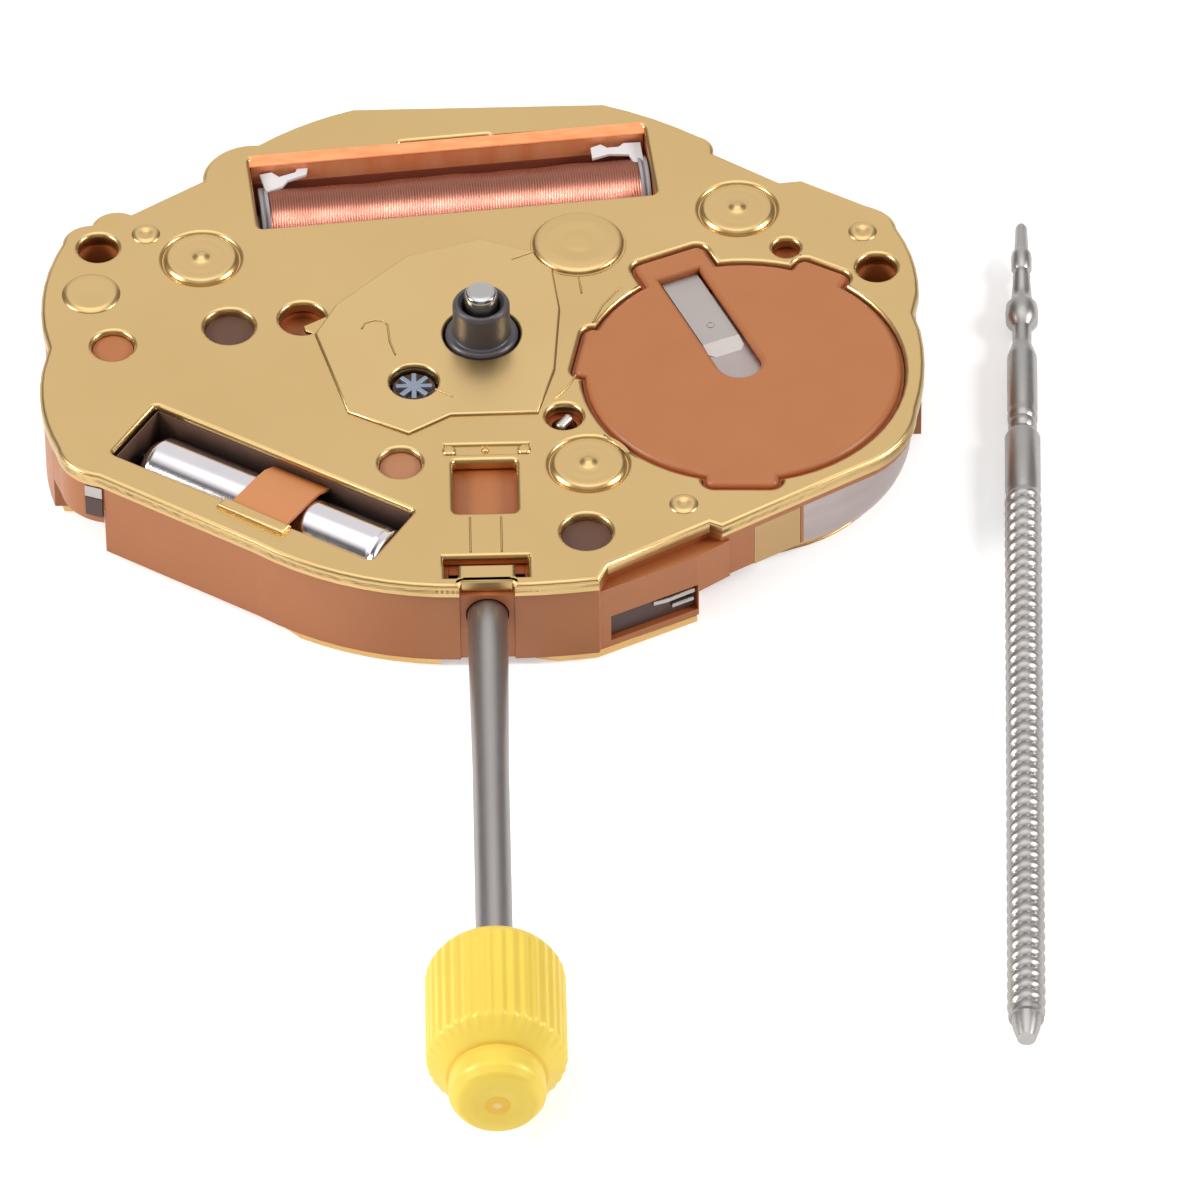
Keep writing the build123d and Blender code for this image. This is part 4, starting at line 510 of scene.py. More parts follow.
def node_middle(name):
    """Middle of a node's box, in millimetres."""
    low, high = node_box(name)
    return (low + high) / 2


def disc(bottom, top, radius):
    """Profile of a plain disc."""
    return [(bottom, 0), (bottom, radius), (top, radius), (top, 0)]


PLATE_TOP = 0.0
plate_bottom = node_box("dial_plate")[0].z
frame_low = node_box("main_frame")[0]
cover_low, cover_high = node_box("back_cover")
rotor = node_middle("rotor_magnet")
cell_middle = node_middle("coin_cell")

# Gilt dial plate: its sheet with every through hole and sunk place, and the low forms pressed up in it
PILLARS = ((-5.67, 2.47), (5.27, 3.65), (2.08, -3.87))
PILLAR_POCKET_RADIUS = 0.79
SUNK_LEDGE = ((-0.75, -3.48), (0.85, -3.24))
LEDGE_FLOOR = -0.07
EDGE_ROUNDING = 0.10
PANEL_HEIGHT = 0.04
PANEL_BOTTOM = -0.08
PANEL_TOP = 0.06
PANEL_ROUNDING = 0.06
CAP_RADIUS = 0.93
DISC = (-7.90, 1.47)
DISC_RADIUS = 0.60
SHADED_HOLES = ((-5.10, 0.42), (2.00, -5.83))
BUMPS = ((-6.80, 3.25), (7.80, 2.88), (3.95, -5.10))


def rectangle(low, high):
    """Loop of a rectangle between two corners."""
    return [(low[0], low[1]), (high[0], low[1]), (high[0], high[1]), (low[0], high[1])]


def near(point, places, reach_of):
    """Whether a point is close to one of some places."""
    return any(math.dist(point, place) < reach_of for place in places)


CORNER_ROUNDING = 0.10
FEW_CORNERS = 10
PILLAR_NEARNESS = 0.1
holes = [refined(loop) for loop in level_loops("dial_plate", plate_bottom)]
holes = [eased(loop, CORNER_ROUNDING) if len(loop) < FEW_CORNERS else loop for loop in holes]
plate_loops = [loop for loop in holes if not near(middle(loop), PILLARS, PILLAR_NEARNESS)]
plate_loops += [circle(place, PILLAR_POCKET_RADIUS) for place in PILLARS]
plate_loops.append(rectangle(*SUNK_LEDGE))
sheet("plate_sheet", plate_loops, plate_bottom, PLATE_TOP, "plate_gold", EDGE_ROUNDING,
      replaced=["dial_plate"])

SKIRT_TOP = -0.045
SKIRT_SHARE = 0.975
SKIRT_ROUNDING = 0.015
outline = max(holes, key=reach)
skirt = [outline, [(x * SKIRT_SHARE, y * SKIRT_SHARE) for x, y in outline]]
sheet("plate_skirt", skirt, plate_bottom, SKIRT_TOP, "plate_gold", SKIRT_ROUNDING, replaced=["dial_plate"])

panel_loops = [refined(loop) for loop in level_loops("dial_plate", PANEL_HEIGHT)]
# The raised panel, in a lighter gilt that paints its sheen
sheet("plate_panel", panel_loops, PANEL_BOTTOM, PANEL_TOP, "plate_gold", PANEL_ROUNDING, look="panel_painted_sheen")

sheet("ledge_floor", [rectangle((SUNK_LEDGE[0][0] - 0.1, SUNK_LEDGE[0][1] - 0.08),
                                (SUNK_LEDGE[1][0] + 0.1, SUNK_LEDGE[1][1] + 0.1))],
      plate_bottom + 0.01, LEDGE_FLOOR, "plate_gold", 0.01)
KEYLESS_LID = ((-0.755, -6.70), (0.755, -3.25))
lid_heights = (plate_bottom - 0.016, plate_bottom - 0.002)
sheet("keyless_lid", [rectangle(*KEYLESS_LID)], *lid_heights, "frame_plastic", 0.003)
# Discs of painted shade deep in the holes that show dark
HOLE_SHADE_DISC = disc(-0.24, -0.17, 0.495)
for index, place in enumerate(SHADED_HOLES):
    lathe(f"hole_shade_disc_{index}", HOLE_SHADE_DISC, (*place, 0), "frame_plastic", look="hole_painted_shade")
POCKET_RING = ((-0.28, 0.43), (-0.28, 0.88), (-0.06, 0.88), (-0.06, 0.43), (-0.28, 0.43))
for index, place in enumerate(PILLARS):
    lathe(f"plate_pocket_floor_{index}", POCKET_RING, (*place, 0), "plate_gold")

cap_place = (rotor.x, rotor.y, 0)
cap_profile = [(-0.05, 0), (-0.05, CAP_RADIUS), (0.05, CAP_RADIUS - 0.01), (0.085, 0.84), (0.10, 0.60),
               (0.09, 0.34), (0.10, 0.20), (0.10, 0)]
lathe("bearing_cap", cap_profile, cap_place, "plate_gold", rounding=0.05)
groove_profile = [(-0.02, CAP_RADIUS + 0.06), (0.012, CAP_RADIUS + 0.04), (0.012, CAP_RADIUS + 0.01),
                  (-0.02, CAP_RADIUS - 0.01), (-0.02, CAP_RADIUS + 0.06)]
lathe("bearing_cap_groove", groove_profile, cap_place, "plate_gold")
disc_profile = [(-0.02, 0), (-0.02, DISC_RADIUS), (0.012, DISC_RADIUS - 0.01), (0.062, DISC_RADIUS - 0.10),
                (0.062, DISC_RADIUS - 0.22), (0.050, 0)]
lathe("low_disc", disc_profile, (*DISC, 0), "plate_gold", rounding=0.04)
BUMP_PROFILE = ((-0.08, 0), (-0.08, 0.30), (-0.02, 0.30), (0.012, 0.285), (0.05, 0.20), (0.04, 0.12),
                (0.015, 0.06), (0.015, 0))
for index, place in enumerate(BUMPS):
    lathe(f"plate_bump_{index}", BUMP_PROFILE, (*place, 0), "plate_gold", rounding=0.04)

PILLAR_HEAD_TOP = 0.05
PILLAR_PROFILE = (
    (-1.15, 0), (-1.15, 0.22), (frame_low.z, 0.22), (frame_low.z, 0.42), (-0.16, 0.42), (-0.16, 0.772),
    (PILLAR_HEAD_TOP - 0.075, 0.772), (PILLAR_HEAD_TOP - 0.005, 0.69), (PILLAR_HEAD_TOP + 0.002, 0.60),
    (PILLAR_HEAD_TOP - 0.002, 0.50), (PILLAR_HEAD_TOP + 0.002, 0.40), (PILLAR_HEAD_TOP, 0.28),
    (PILLAR_HEAD_TOP + 0.008, 0.18), (PILLAR_HEAD_TOP + 0.062, 0.075), (PILLAR_HEAD_TOP + 0.07, 0),
)
for index, place in enumerate(PILLARS):
    lathe(f"pillar_{index}", PILLAR_PROFILE, (*place, 0), "plate_gold", rounding=0.03, replaced=["pillars"])

# Pressed lines of the dial plate
LINE_RADIUS = 0.022
PRESSED_LINES = {
    "channel_left": ((-0.31, -5.36), (-0.31, -6.36)),
    "channel_right": ((0.31, -5.36), (0.31, -6.36)),
    "cap_tail": ((0.65, 2.20), (1.06, 2.40)),
    "panel_tick": ((-0.95, -1.65), (-0.60, -1.88)),
    "bay_cut_high": ((2.25, 0.30), (2.45, 0.80), (2.85, 1.38)),
    "bay_cut_low": ((1.45, -1.92), (1.70, -1.62), (1.88, -1.25)),
    "spring_arc": ((-2.42, 0.20), (-2.36, 0.36), (-2.18, 0.44), (-1.98, 0.42), (-1.90, 0.30), (-1.86, -0.20),
                   (-1.75, -0.60)),
    "cap_foot": ((2.00, 1.66), (2.04, 1.20)),
}
ON_PANEL = ("cap_tail", "panel_tick", "spring_arc")
for name, points in PRESSED_LINES.items():
    height = PANEL_TOP if name in ON_PANEL else 0.0
    wire(f"line_{name}", [(x, y, height) for x, y in points], LINE_RADIUS, "plate_gold")

# Bumps and the small point on the sunk ledge behind the window
LEDGE_BUMPS = ((-0.70, -3.40), (0.80, -3.40))
LEDGE_BUMP_PROFILE = ((-0.02, 0), (-0.02, 0.15), (0.03, 0.11), (0.035, 0))
for index, place in enumerate(LEDGE_BUMPS):
    lathe(f"ledge_bump_{index}", LEDGE_BUMP_PROFILE, (*place, 0), "plate_gold", rounding=0.03)
LEDGE_POINT_PROFILE = ((-0.12, 0), (-0.12, 0.10), (-0.02, 0.06), (0.0, 0))
lathe("ledge_point", LEDGE_POINT_PROFILE, (0.02, -3.36, 0), "plate_gold", rounding=0.02)

# Gold hook in the lever hole and the bright tab in the stop lever's hole
LEVER_HOLE = (-3.62, 0.62)
TAB_HOLE = (1.62, -2.45)
TAB_PROFILE = ((-0.20, 0), (-0.20, 0.07), (-0.15, 0.11), (0.15, 0.11), (0.20, 0.07), (0.20, 0))
TAB_DIRECTION = (0.62, 0.72, 0.16)
hook = [polar(LEVER_HOLE, 0.50, angle) for angle in range(-62, 22, 12)]
hook += [(-3.46, 0.50), (-3.60, 0.42), (-3.56, 0.30)]
sheet("lever_hook", [hook], -0.16, -0.04, "plate_gold", 0.02)
lathe("stop_tab_cap", TAB_PROFILE, (*TAB_HOLE, -0.20), "strip_silver", direction=TAB_DIRECTION,
      rounding=0.03, body="stop_arm")

# Roof over the cell, its skin just above the frame's own
ROOF_TOP = -0.06
ROOF_LIFT = 0.085
ROOF_SPREAD = 0.03
ROOF_DEPTH = 0.20
ROOF_ROUNDING = 0.13
ROOF_LEAST_REACH = 0.8
CELL_OPENING_REACH = 3
SEAT_TOP = -0.105
SEAT_INSET = 0.012
roof_loops = [loop for loop in level_loops("main_frame", ROOF_TOP) if reach(loop) > ROOF_LEAST_REACH]
sheet("roof_skin", roof_loops, ROOF_TOP - ROOF_DEPTH, ROOF_TOP + ROOF_LIFT, "frame_plastic", ROOF_ROUNDING,
      inset=-ROOF_SPREAD)
opening = [loop for loop in holes
           if reach(loop) > CELL_OPENING_REACH and middle(loop)[0] > CELL_OPENING_REACH]
slot_loop = [loop for loop in roof_loops if reach(loop) < CELL_OPENING_REACH]
sheet("roof_seat", opening + slot_loop, plate_bottom + 0.01, SEAT_TOP, "frame_plastic", FINE_ROUNDING,
      inset=SEAT_INSET)

# Back cover, with rounded edges
back_loops = [refined(loop) for loop in level_loops("back_cover", cover_low.z)]
COVER_REACH = 3.00
CELL_SIDE = 5.4


def under_cell(loop):
    """The cover's outline kept within the cell's wall where the cell stands free at the side."""
    centre = Vector((cell_middle.x, cell_middle.y))
    points = []
    for point in loop:
        offset = Vector(point) - centre
        if point[0] > CELL_SIDE and offset.length > COVER_REACH:
            offset = offset.normalized() * COVER_REACH
        points.append(tuple(centre + offset))
    return points


RIM_STRETCHES = ((-4.1, -0.9), (1.0, 4.2))
RIM_CUT = 0.12
RIM_FRONT = -2.0


def under_frame(loop):
    """The cover's outline drawn in under the frame, but for the stretches where its rim shows."""
    points = []
    for point in loop:
        flat = Vector(point)
        shown = any(low < flat.x < high for low, high in RIM_STRETCHES)
        if flat.y < RIM_FRONT and flat.x < CELL_SIDE and not shown:
            flat *= 1 - RIM_CUT / flat.length
        points.append(tuple(flat))
    return points


back_loops = [under_frame(under_cell(loop)) if reach(loop) > COVER_REACH else loop for loop in back_loops]
sheet("cover_sheet", back_loops, cover_low.z, cover_high.z, "bridge_gold", 0.04, replaced=["back_cover"])


# Coil: the wound wire, its flanges and its tabs
COIL_MIDDLE = (-0.57, 4.83)
COIL_ANGLE = 5.7
COIL_HEIGHT = -0.98
COIL_START = -3.74
COIL_LENGTH = 7.62
COIL_RADIUS = 0.745
FLANGE_RADIUS = 0.80
WIRE_PITCH = 0.055
WIRE_RELIEF = 0.014
SWELLS = ((0.012, 2.1, 0.6), (0.008, 5.3, 0))
FLANGE_GAP = 0.01


def along_line(origin, angle, distance, side=0.0):
    """Point at a distance along a line and to its side."""
    return polar(polar(origin, distance, angle), side, angle + 90)


def along_coil(distance, side=0.0):
    """Point along the coil and to its side."""
    return along_line(COIL_MIDDLE, COIL_ANGLE, distance, side)


def laid(along, points):
    """Loop of points given along a line and to its side."""
    return [along(*point) for point in points]


def heading(angle):
    """Level direction at an angle in degrees."""
    return (math.cos(math.radians(angle)), math.sin(math.radians(angle)), 0)


def wound(distance, angle):
    """Ripple of a wire wound in close turns, with the slight swell of its layers."""
    turn = distance / WIRE_PITCH - angle / (2 * math.pi)
    swell = sum(height * math.sin(distance * rate + start) for height, rate, start in SWELLS)
    return WIRE_RELIEF * abs(math.sin(math.pi * turn)) + swell


STEPS_A_TURN = 6
wire_steps = int(COIL_LENGTH / WIRE_PITCH * STEPS_A_TURN)
winding_profile = [(COIL_LENGTH * step / wire_steps, COIL_RADIUS) for step in range(wire_steps + 1)]
winding_profile = [(0, 0)] + winding_profile + [(COIL_LENGTH, 0)]
lathe("winding", winding_profile, (*along_coil(COIL_START), COIL_HEIGHT), "winding_copper",
      direction=heading(COIL_ANGLE), segments=72, wave=wound, replaced=["coil_winding"])

FLANGE_THICKNESS = 0.19
flange_starts = (COIL_START - FLANGE_THICKNESS - FLANGE_GAP, COIL_START + COIL_LENGTH + FLANGE_GAP)
for index, start in enumerate(flange_starts):
    flange = [(0, 0), (0, FLANGE_RADIUS), (0.07, FLANGE_RADIUS), (0.08, FLANGE_RADIUS - 0.04),
              (0.11, FLANGE_RADIUS - 0.04), (0.12, FLANGE_RADIUS), (FLANGE_THICKNESS, FLANGE_RADIUS),
              (FLANGE_THICKNESS, 0)]
    lathe(f"flange_{index}", flange, (*along_coil(start), COIL_HEIGHT), "flange_plastic",
          direction=heading(COIL_ANGLE), rounding=0.02, replaced=["coil_flanges"])

TAB_TOP = -0.26
TAB_THICKNESS = 0.08
TAB_SHAPES = (
    ((-3.78, 0.30), (-3.42, 0.44), (-3.30, 0.60), (-2.90, 0.74), (-2.84, 0.98), (-3.06, 0.98), (-3.12, 0.84),
     (-3.46, 0.74), (-3.60, 0.90), (-3.86, 0.86)),
    ((2.98, 0.46), (2.98, 0.80), (3.20, 0.88), (3.32, 0.76), (3.56, 0.76), (3.66, 0.86), (4.02, 0.84),
     (4.02, 0.24), (3.82, 0.24), (3.74, 0.50), (3.34, 0.56)),
)
for index, shape in enumerate(TAB_SHAPES):
    sheet(f"coil_tab_{index}", [laid(along_coil, shape)], TAB_TOP - TAB_THICKNESS, TAB_TOP, "tab_white", 0.02,
          replaced=["coil_tabs"])

for index, place in enumerate((-3.84, 3.98)):
    foot = [along_coil(place + x, y) for x, y in ((-0.09, 0.02), (0.09, 0.02), (0.09, 0.56), (-0.09, 0.56))]
    sheet(f"tab_foot_{index}", [foot], TAB_TOP - 0.60, TAB_TOP - 0.10, "flange_plastic", 0.03,
          replaced=["coil_flanges"])

# Far wall of the coil's bay with painted light on it, its lip, the painted shade below it and the shelf in
# its notch
COIL_NEARNESS = 1.0
coil_hole = [loop for loop in holes if near(middle(loop), [COIL_MIDDLE], COIL_NEARNESS)][0]
turn_back = math.radians(-COIL_ANGLE)
in_coil = [Vector((x - COIL_MIDDLE[0], y - COIL_MIDDLE[1])) for x, y in coil_hole]
in_coil = [(point.x * math.cos(turn_back) - point.y * math.sin(turn_back),
            point.x * math.sin(turn_back) + point.y * math.cos(turn_back)) for point in in_coil]
bay_left = min(point[0] for point in in_coil)
bay_right = max(point[0] for point in in_coil)
bay_far = max(point[1] for point in in_coil if point[0] < bay_left + 0.2 and point[1] > 0)
notch_far = max(point[1] for point in in_coil)
notch_reach = [point[0] for point in in_coil if point[1] > bay_far + 0.05]
WALL_SHEET_THICKNESS = 0.02
WALL_SHEET_MARGIN = 0.02
LIGHT_SHEET_TOP = -0.11
LIGHT_SHADE_JOIN = -0.58
SHADE_BOTTOM = -1.60
LIP_THICKNESS = 0.03
SHELF_HEIGHTS = (-0.26, -0.09)
wall_sheet_left, wall_sheet_right = bay_left + WALL_SHEET_MARGIN, bay_right - WALL_SHEET_MARGIN
wall_sheet_face = bay_far - 0.105
wall_sheet = laid(along_coil, (
    (wall_sheet_left, wall_sheet_face), (wall_sheet_right, wall_sheet_face),
    (wall_sheet_right, wall_sheet_face - WALL_SHEET_THICKNESS), (wall_sheet_left, wall_sheet_face - WALL_SHEET_THICKNESS)))
# Sheet that paints light on the far wall of the coil's bay
sheet("coil_bay_light_sheet", [wall_sheet], LIGHT_SHADE_JOIN, LIGHT_SHEET_TOP, "frame_plastic", FINE_ROUNDING, look="coil_bay_painted_light")
lip = ((bay_left - 0.01, bay_far + 0.10, 0.012), (bay_right + 0.01, bay_far + 0.10, 0.012),
       (bay_right + 0.01, bay_far - 0.13, -0.10), (bay_left - 0.01, bay_far - 0.13, -0.10))
lip = [(*along_coil(distance, side), height) for distance, side, height in lip]
slab("coil_bay_lip", lip, LIP_THICKNESS, "frame_plastic", look="lip_orange")
# Sheet of painted shade below the lit one
sheet("coil_bay_shade", [wall_sheet], SHADE_BOTTOM, LIGHT_SHADE_JOIN - 0.01, "frame_plastic", FINE_ROUNDING,
      look="coil_bay_painted_shade")
if notch_reach:
    shelf = [(min(notch_reach) + 0.03, notch_far - 0.03), (max(notch_reach) - 0.03, notch_far - 0.03),
             (max(notch_reach) - 0.03, bay_far - 0.01), (min(notch_reach) + 0.03, bay_far - 0.01)]
    sheet("coil_bay_shelf", [laid(along_coil, shelf)], *SHELF_HEIGHTS, "frame_plastic", 0.01)

# Crystal in its can, with the strap over it and the plate's flap
CRYSTAL_PLACE = (-4.435, -4.18)
CRYSTAL_ANGLE = -32.2
CRYSTAL_HEIGHT = -0.93
CRYSTAL_RADIUS = 0.745
CRYSTAL_START = -2.70
CRYSTAL_LENGTH = 5.64


def along_crystal(distance, side=0.0):
    """Point along the crystal and to its side."""
    return along_line(CRYSTAL_PLACE, CRYSTAL_ANGLE, distance, side)


can_profile = [(0, 0), (0, 0.50), (0.05, 0.62), (0.22, CRYSTAL_RADIUS), (5.40, CRYSTAL_RADIUS), (5.43, 0.728),
               (5.49, 0.728), (5.52, CRYSTAL_RADIUS), (CRYSTAL_LENGTH, CRYSTAL_RADIUS), (CRYSTAL_LENGTH, 0)]
lathe("can", can_profile, (*along_crystal(CRYSTAL_START), CRYSTAL_HEIGHT), "can_silver",
      direction=heading(CRYSTAL_ANGLE), rounding=0.06, replaced=["crystal_can"])

STRAP_SHIFT = 0.42
STRAP_WIDTH = 1.30
strap_section = [(-0.86, -0.05), (-0.70, -0.028), (-0.30, -0.06), (0.10, -0.10), (0.45, -0.16), (0.80, -0.34)]
strap_vertices, strap_faces = [], []
for side, height in strap_section:
    for distance in (STRAP_SHIFT - STRAP_WIDTH / 2, STRAP_SHIFT + STRAP_WIDTH / 2):
        for depth in (0, 0.07):
            strap_vertices.append(Vector((*along_crystal(distance, side), height - depth)) * MM)
for row in range(len(strap_section) - 1):
    a, b = 4 * row, 4 * row + 4
    strap_faces += [(a, a + 2, b + 2, b), (a + 1, b + 1, b + 3, a + 3), (a, b, b + 1, a + 1),
                    (a + 2, a + 3, b + 3, b + 2)]
last = 4 * (len(strap_section) - 1)
strap_faces += [(0, 1, 3, 2), (last, last + 2, last + 3, last + 1)]
strap_mesh = bpy.data.meshes.new("strap")
strap_mesh.from_pydata(strap_vertices, [], strap_faces)
add_piece("strap", strap_mesh, "strap_orange", replaced=["crystal_strap"])
FLAP_HEIGHTS = (-0.06, 0.10)
FLAP_ROUNDING = 0.075
FLAP_PLAN = ((-0.80, -1.12), (0.78, -1.16), (0.80, -0.86), (-0.76, -0.82))
flap = [along_crystal(STRAP_SHIFT + x, y) for x, y in FLAP_PLAN]
sheet("flap", [flap], *FLAP_HEIGHTS, "plate_gold", FLAP_ROUNDING)

# Sheet of painted shade on the far wall and the left end wall of the crystal's bay
SHADE_SHEET_SIDE = 0.785
SHADE_SHEET_END = 2.97
CRYSTAL_SHADE_HEIGHTS = (-1.70, -0.13)
crystal_shade_sheet = laid(along_crystal, (
    (-SHADE_SHEET_END - 0.02, -0.80), (-SHADE_SHEET_END - 0.02, SHADE_SHEET_SIDE + 0.02), (SHADE_SHEET_END, SHADE_SHEET_SIDE + 0.02),
    (SHADE_SHEET_END, SHADE_SHEET_SIDE), (-SHADE_SHEET_END, SHADE_SHEET_SIDE), (-SHADE_SHEET_END, -0.80)))
sheet("crystal_bay_shade_sheet", [crystal_shade_sheet], *CRYSTAL_SHADE_HEIGHTS, "frame_plastic", FINE_ROUNDING,
      look="crystal_bay_painted_shade")

# Contact strip over the cell, with its creased point
CONTACT_FOOT = (4.02, 1.76)
CONTACT_ANGLE = -66.7
CONTACT_TOP = -0.16


def along_contact(distance, side=0.0):
    """Point along the contact strip and to its side."""
    return along_line(CONTACT_FOOT, CONTACT_ANGLE, distance, side)


CONTACT_WIDTH = 0.40
CONTACT_THICKNESS = 0.07
LEG_BOTTOM = -1.40
contact = laid(along_contact, (
    (-0.45, -CONTACT_WIDTH), (-0.45, CONTACT_WIDTH), (2.04, CONTACT_WIDTH), (2.04, -CONTACT_WIDTH)))
sheet("contact", [contact], CONTACT_TOP - CONTACT_THICKNESS, CONTACT_TOP, "strip_silver", 0.012,
      replaced=["negative_contact"])
tip = ((2.02, -CONTACT_WIDTH, 0), (2.02, CONTACT_WIDTH, 0), (2.30, CONTACT_WIDTH, -0.06),
       (2.70, 0.06, -0.14), (2.30, -CONTACT_WIDTH, -0.06))
tip = [(*along_contact(distance, side), CONTACT_TOP + drop) for distance, side, drop in tip]
slab("contact_tip", tip, 0.06, "strip_silver", replaced=["negative_contact"])
leg = laid(along_contact, ((-0.45, -0.30), (-0.45, 0.30), (-0.38, 0.30), (-0.38, -0.30)))
sheet("contact_leg", [leg], LEG_BOTTOM, CONTACT_TOP - 0.03, "strip_silver", 0.015)
DIMPLE_PROFILE = ((-0.02, 0.10), (0.012, 0.085), (0.012, 0.065), (-0.02, 0.05), (-0.02, 0.10))
lathe("contact_dimple", DIMPLE_PROFILE, (*along_contact(1.55), CONTACT_TOP), "strip_silver")

# Cell
cell_low, cell_high = node_box("coin_cell")
CELL_RADIUS = 3.395
CELL_WALL = ((0, 0), (0, 3.20), (0.06, 3.34), (0.24, CELL_RADIUS), (1.24, CELL_RADIUS), (1.36, 3.36),
             (1.47, 3.20), (1.47, 2.92), (1.44, 2.88), (1.44, 2.80), (1.50, 2.74))
cell_profile = [(cell_low.z + rise, radius) for rise, radius in CELL_WALL]
cell_profile += [(cell_high.z - 0.05, 2.72), (cell_high.z, 2.62), (cell_high.z, 0)]
lathe("cell", cell_profile, (cell_middle.x, cell_middle.y, 0), "cell_steel", rounding=0.04,
      replaced=["coin_cell"])

# Front wall: the infill round the stem, the slot dark with painted shade and its sliver, and the corner with
# its clip
FRONT_FACE = -7.27
INFILL_THICKNESS = 0.24
INFILL_WIDTH = 0.585
STEM_HOLE_RADIUS = 0.425
STEM_HEIGHT = -0.85
infill_loops = [rectangle((-INFILL_WIDTH, frame_low.z + 0.02), (INFILL_WIDTH, plate_bottom - 0.01)),
                circle((0, STEM_HEIGHT), STEM_HOLE_RADIUS)]
infill = sheet_mesh("front_infill", infill_loops, 0, INFILL_THICKNESS, 0.01)
infill.transform(Matrix.Rotation(math.radians(90), 4, "X"))
infill.transform(Matrix.Translation((0, (FRONT_FACE + INFILL_THICKNESS) * MM, 0)))
add_piece("front_infill", infill, "frame_plastic")

WALL_SLOT = (3.25, -6.42)
WALL_SLOT_ANGLE = 26.0


def along_slot(distance, side):
    """Point along the slot of the front wall and to its side."""
    return along_line(WALL_SLOT, WALL_SLOT_ANGLE, distance, side)


# The slot's strip takes the painted shade of the dark opening
SLOT_PARTS = {
    "slot_strip": (((-0.96, -0.04), (0.96, -0.04), (0.96, 0.05), (-0.96, 0.05)),
                   -1.89, -1.24, 0.01, "painted_recess_shade"),
    "slot_sliver": (((0.02, -0.10), (0.30, -0.14), (0.93, -0.12), (0.93, -0.04), (0.02, -0.04)),
                    -1.46, -1.34, 0.025, None),
    "slot_bow": (((0.42, -0.13), (0.90, -0.13), (0.90, -0.04), (0.42, -0.04)), -1.66, -1.56, 0.025, None),
}
for name, (plan, bottom, top, rounding, look) in SLOT_PARTS.items():
    sheet(name, [laid(along_slot, plan)], bottom, top, "strip_silver", rounding,
          replaced=["positive_contact"], look=look)

clip_low, clip_high = node_box("side_clip")
clip_loops = level_loops("side_clip", clip_low.z)
sheet("corner_wall", clip_loops, clip_low.z, clip_high.z, "strip_silver", 0.015, replaced=["side_clip"],
      look="frame_plastic")
CLIP_FACE = [(-7.66, -3.965), (-8.00, -3.835), (-7.985, -3.795), (-7.65, -3.925)]
sheet("corner_clip", [CLIP_FACE], -0.62, -0.335, "strip_silver", 0.012, replaced=["side_clip"])
# Painted shade in the hollow under the clip
sheet("corner_clip_hollow", [CLIP_FACE], -1.12, -0.64, "strip_silver", 0.01, replaced=["side_clip"],
      look="painted_recess_shade")

# Centre post: the hour wheel with its dark tube, and the cannon pinion in it with its light domed top
hour_low, hour_high = node_box("hour_wheel")
HOUR_WHEEL_THICKNESS = 0.14
sheet("hour_wheel_disc", level_loops("hour_wheel", hour_low.z), hour_low.z,
      hour_low.z + HOUR_WHEEL_THICKNESS, "hour_post", 0.008, body="hour", replaced=["hour_wheel"])
tube_bottom, tube_top = hour_low.z + 0.10, hour_high.z
tube = [(tube_bottom, 0.38), (tube_bottom, 0.735), (0.05, 0.735), (0.10, 0.69), (0.10, 0.60), (0.13, 0.578),
        (tube_top - 0.07, 0.578), (tube_top, 0.53), (tube_top, 0.47), (tube_top - 0.06, 0.40),
        (tube_top - 0.20, 0.38), (tube_bottom, 0.38)]
lathe("hour_tube", tube, (0, 0, 0), "hour_post", rounding=0.02, body="hour", replaced=["hour_wheel"])
post_low, post_high = node_box("cannon_pinion")
CANNON_TEETH_TOP = hour_low.z - 0.03
cannon_loops = level_loops("cannon_pinion", post_low.z)
sheet("cannon_teeth", cannon_loops, post_low.z, CANNON_TEETH_TOP, "pinion_steel", 0.006, body="centre",
      replaced=["cannon_pinion"])
post = [(0.20, 0), (0.20, 0.17), (hour_low.z - 0.04, 0.17), (hour_low.z - 0.04, 0.338),
        (post_high.z - 0.09, 0.338), (post_high.z - 0.02, 0.30), (post_high.z, 0.20), (post_high.z, 0)]
lathe("minute_post", post, (0, 0, 0), "screw_steel", rounding=0.03, body="centre",
      replaced=["cannon_pinion"])

# Leaves of the minute pinion in their hole, over a disc of painted shade
minute_middle = node_middle("minute_pinion")
STAR_ARMS = 8
STAR_RADIUS = 0.37
STAR_WAIST = 0.085
star = []
for arm in range(STAR_ARMS):
    turn = 360 * arm / STAR_ARMS
    star += [polar(minute_middle, STAR_RADIUS, turn - 8), polar(minute_middle, STAR_RADIUS, turn + 8),
             polar(minute_middle, STAR_WAIST + 0.05, turn + 180 / STAR_ARMS)]
minute_top = node_box("minute_pinion")[1].z
sheet("pinion_star", [star], minute_top, -0.05, "pinion_steel", 0.012, body="minute", look="star_steel")
# Disc of painted shade in the pinion's hole
lathe("pinion_hole_shade", disc(minute_top + 0.01, -0.14, 0.43), (minute_middle.x, minute_middle.y, 0),
      "pinion_steel", body="minute", look="painted_recess_shade")

# Stem, and the crown on it
STEM_LINE = (0, 0, STEM_HEIGHT)
STEM_DIRECTION = (0, -1, 0)
stem_profile = [(3.72, 0), (3.72, 0.13), (5.60, 0.13), (5.60, 0.33), (5.87, 0.33), (5.88, 0.22), (6.16, 0.22),
                (6.18, 0.37), (6.24, 0.40), (8.40, 0.40), (11.60, 0.36), (17.30, 0.36), (17.30, 0)]
lathe("stem", stem_profile, STEM_LINE, "stem_steel", direction=STEM_DIRECTION, rounding=0.03,
      body="stem", replaced=["winding_stem"])

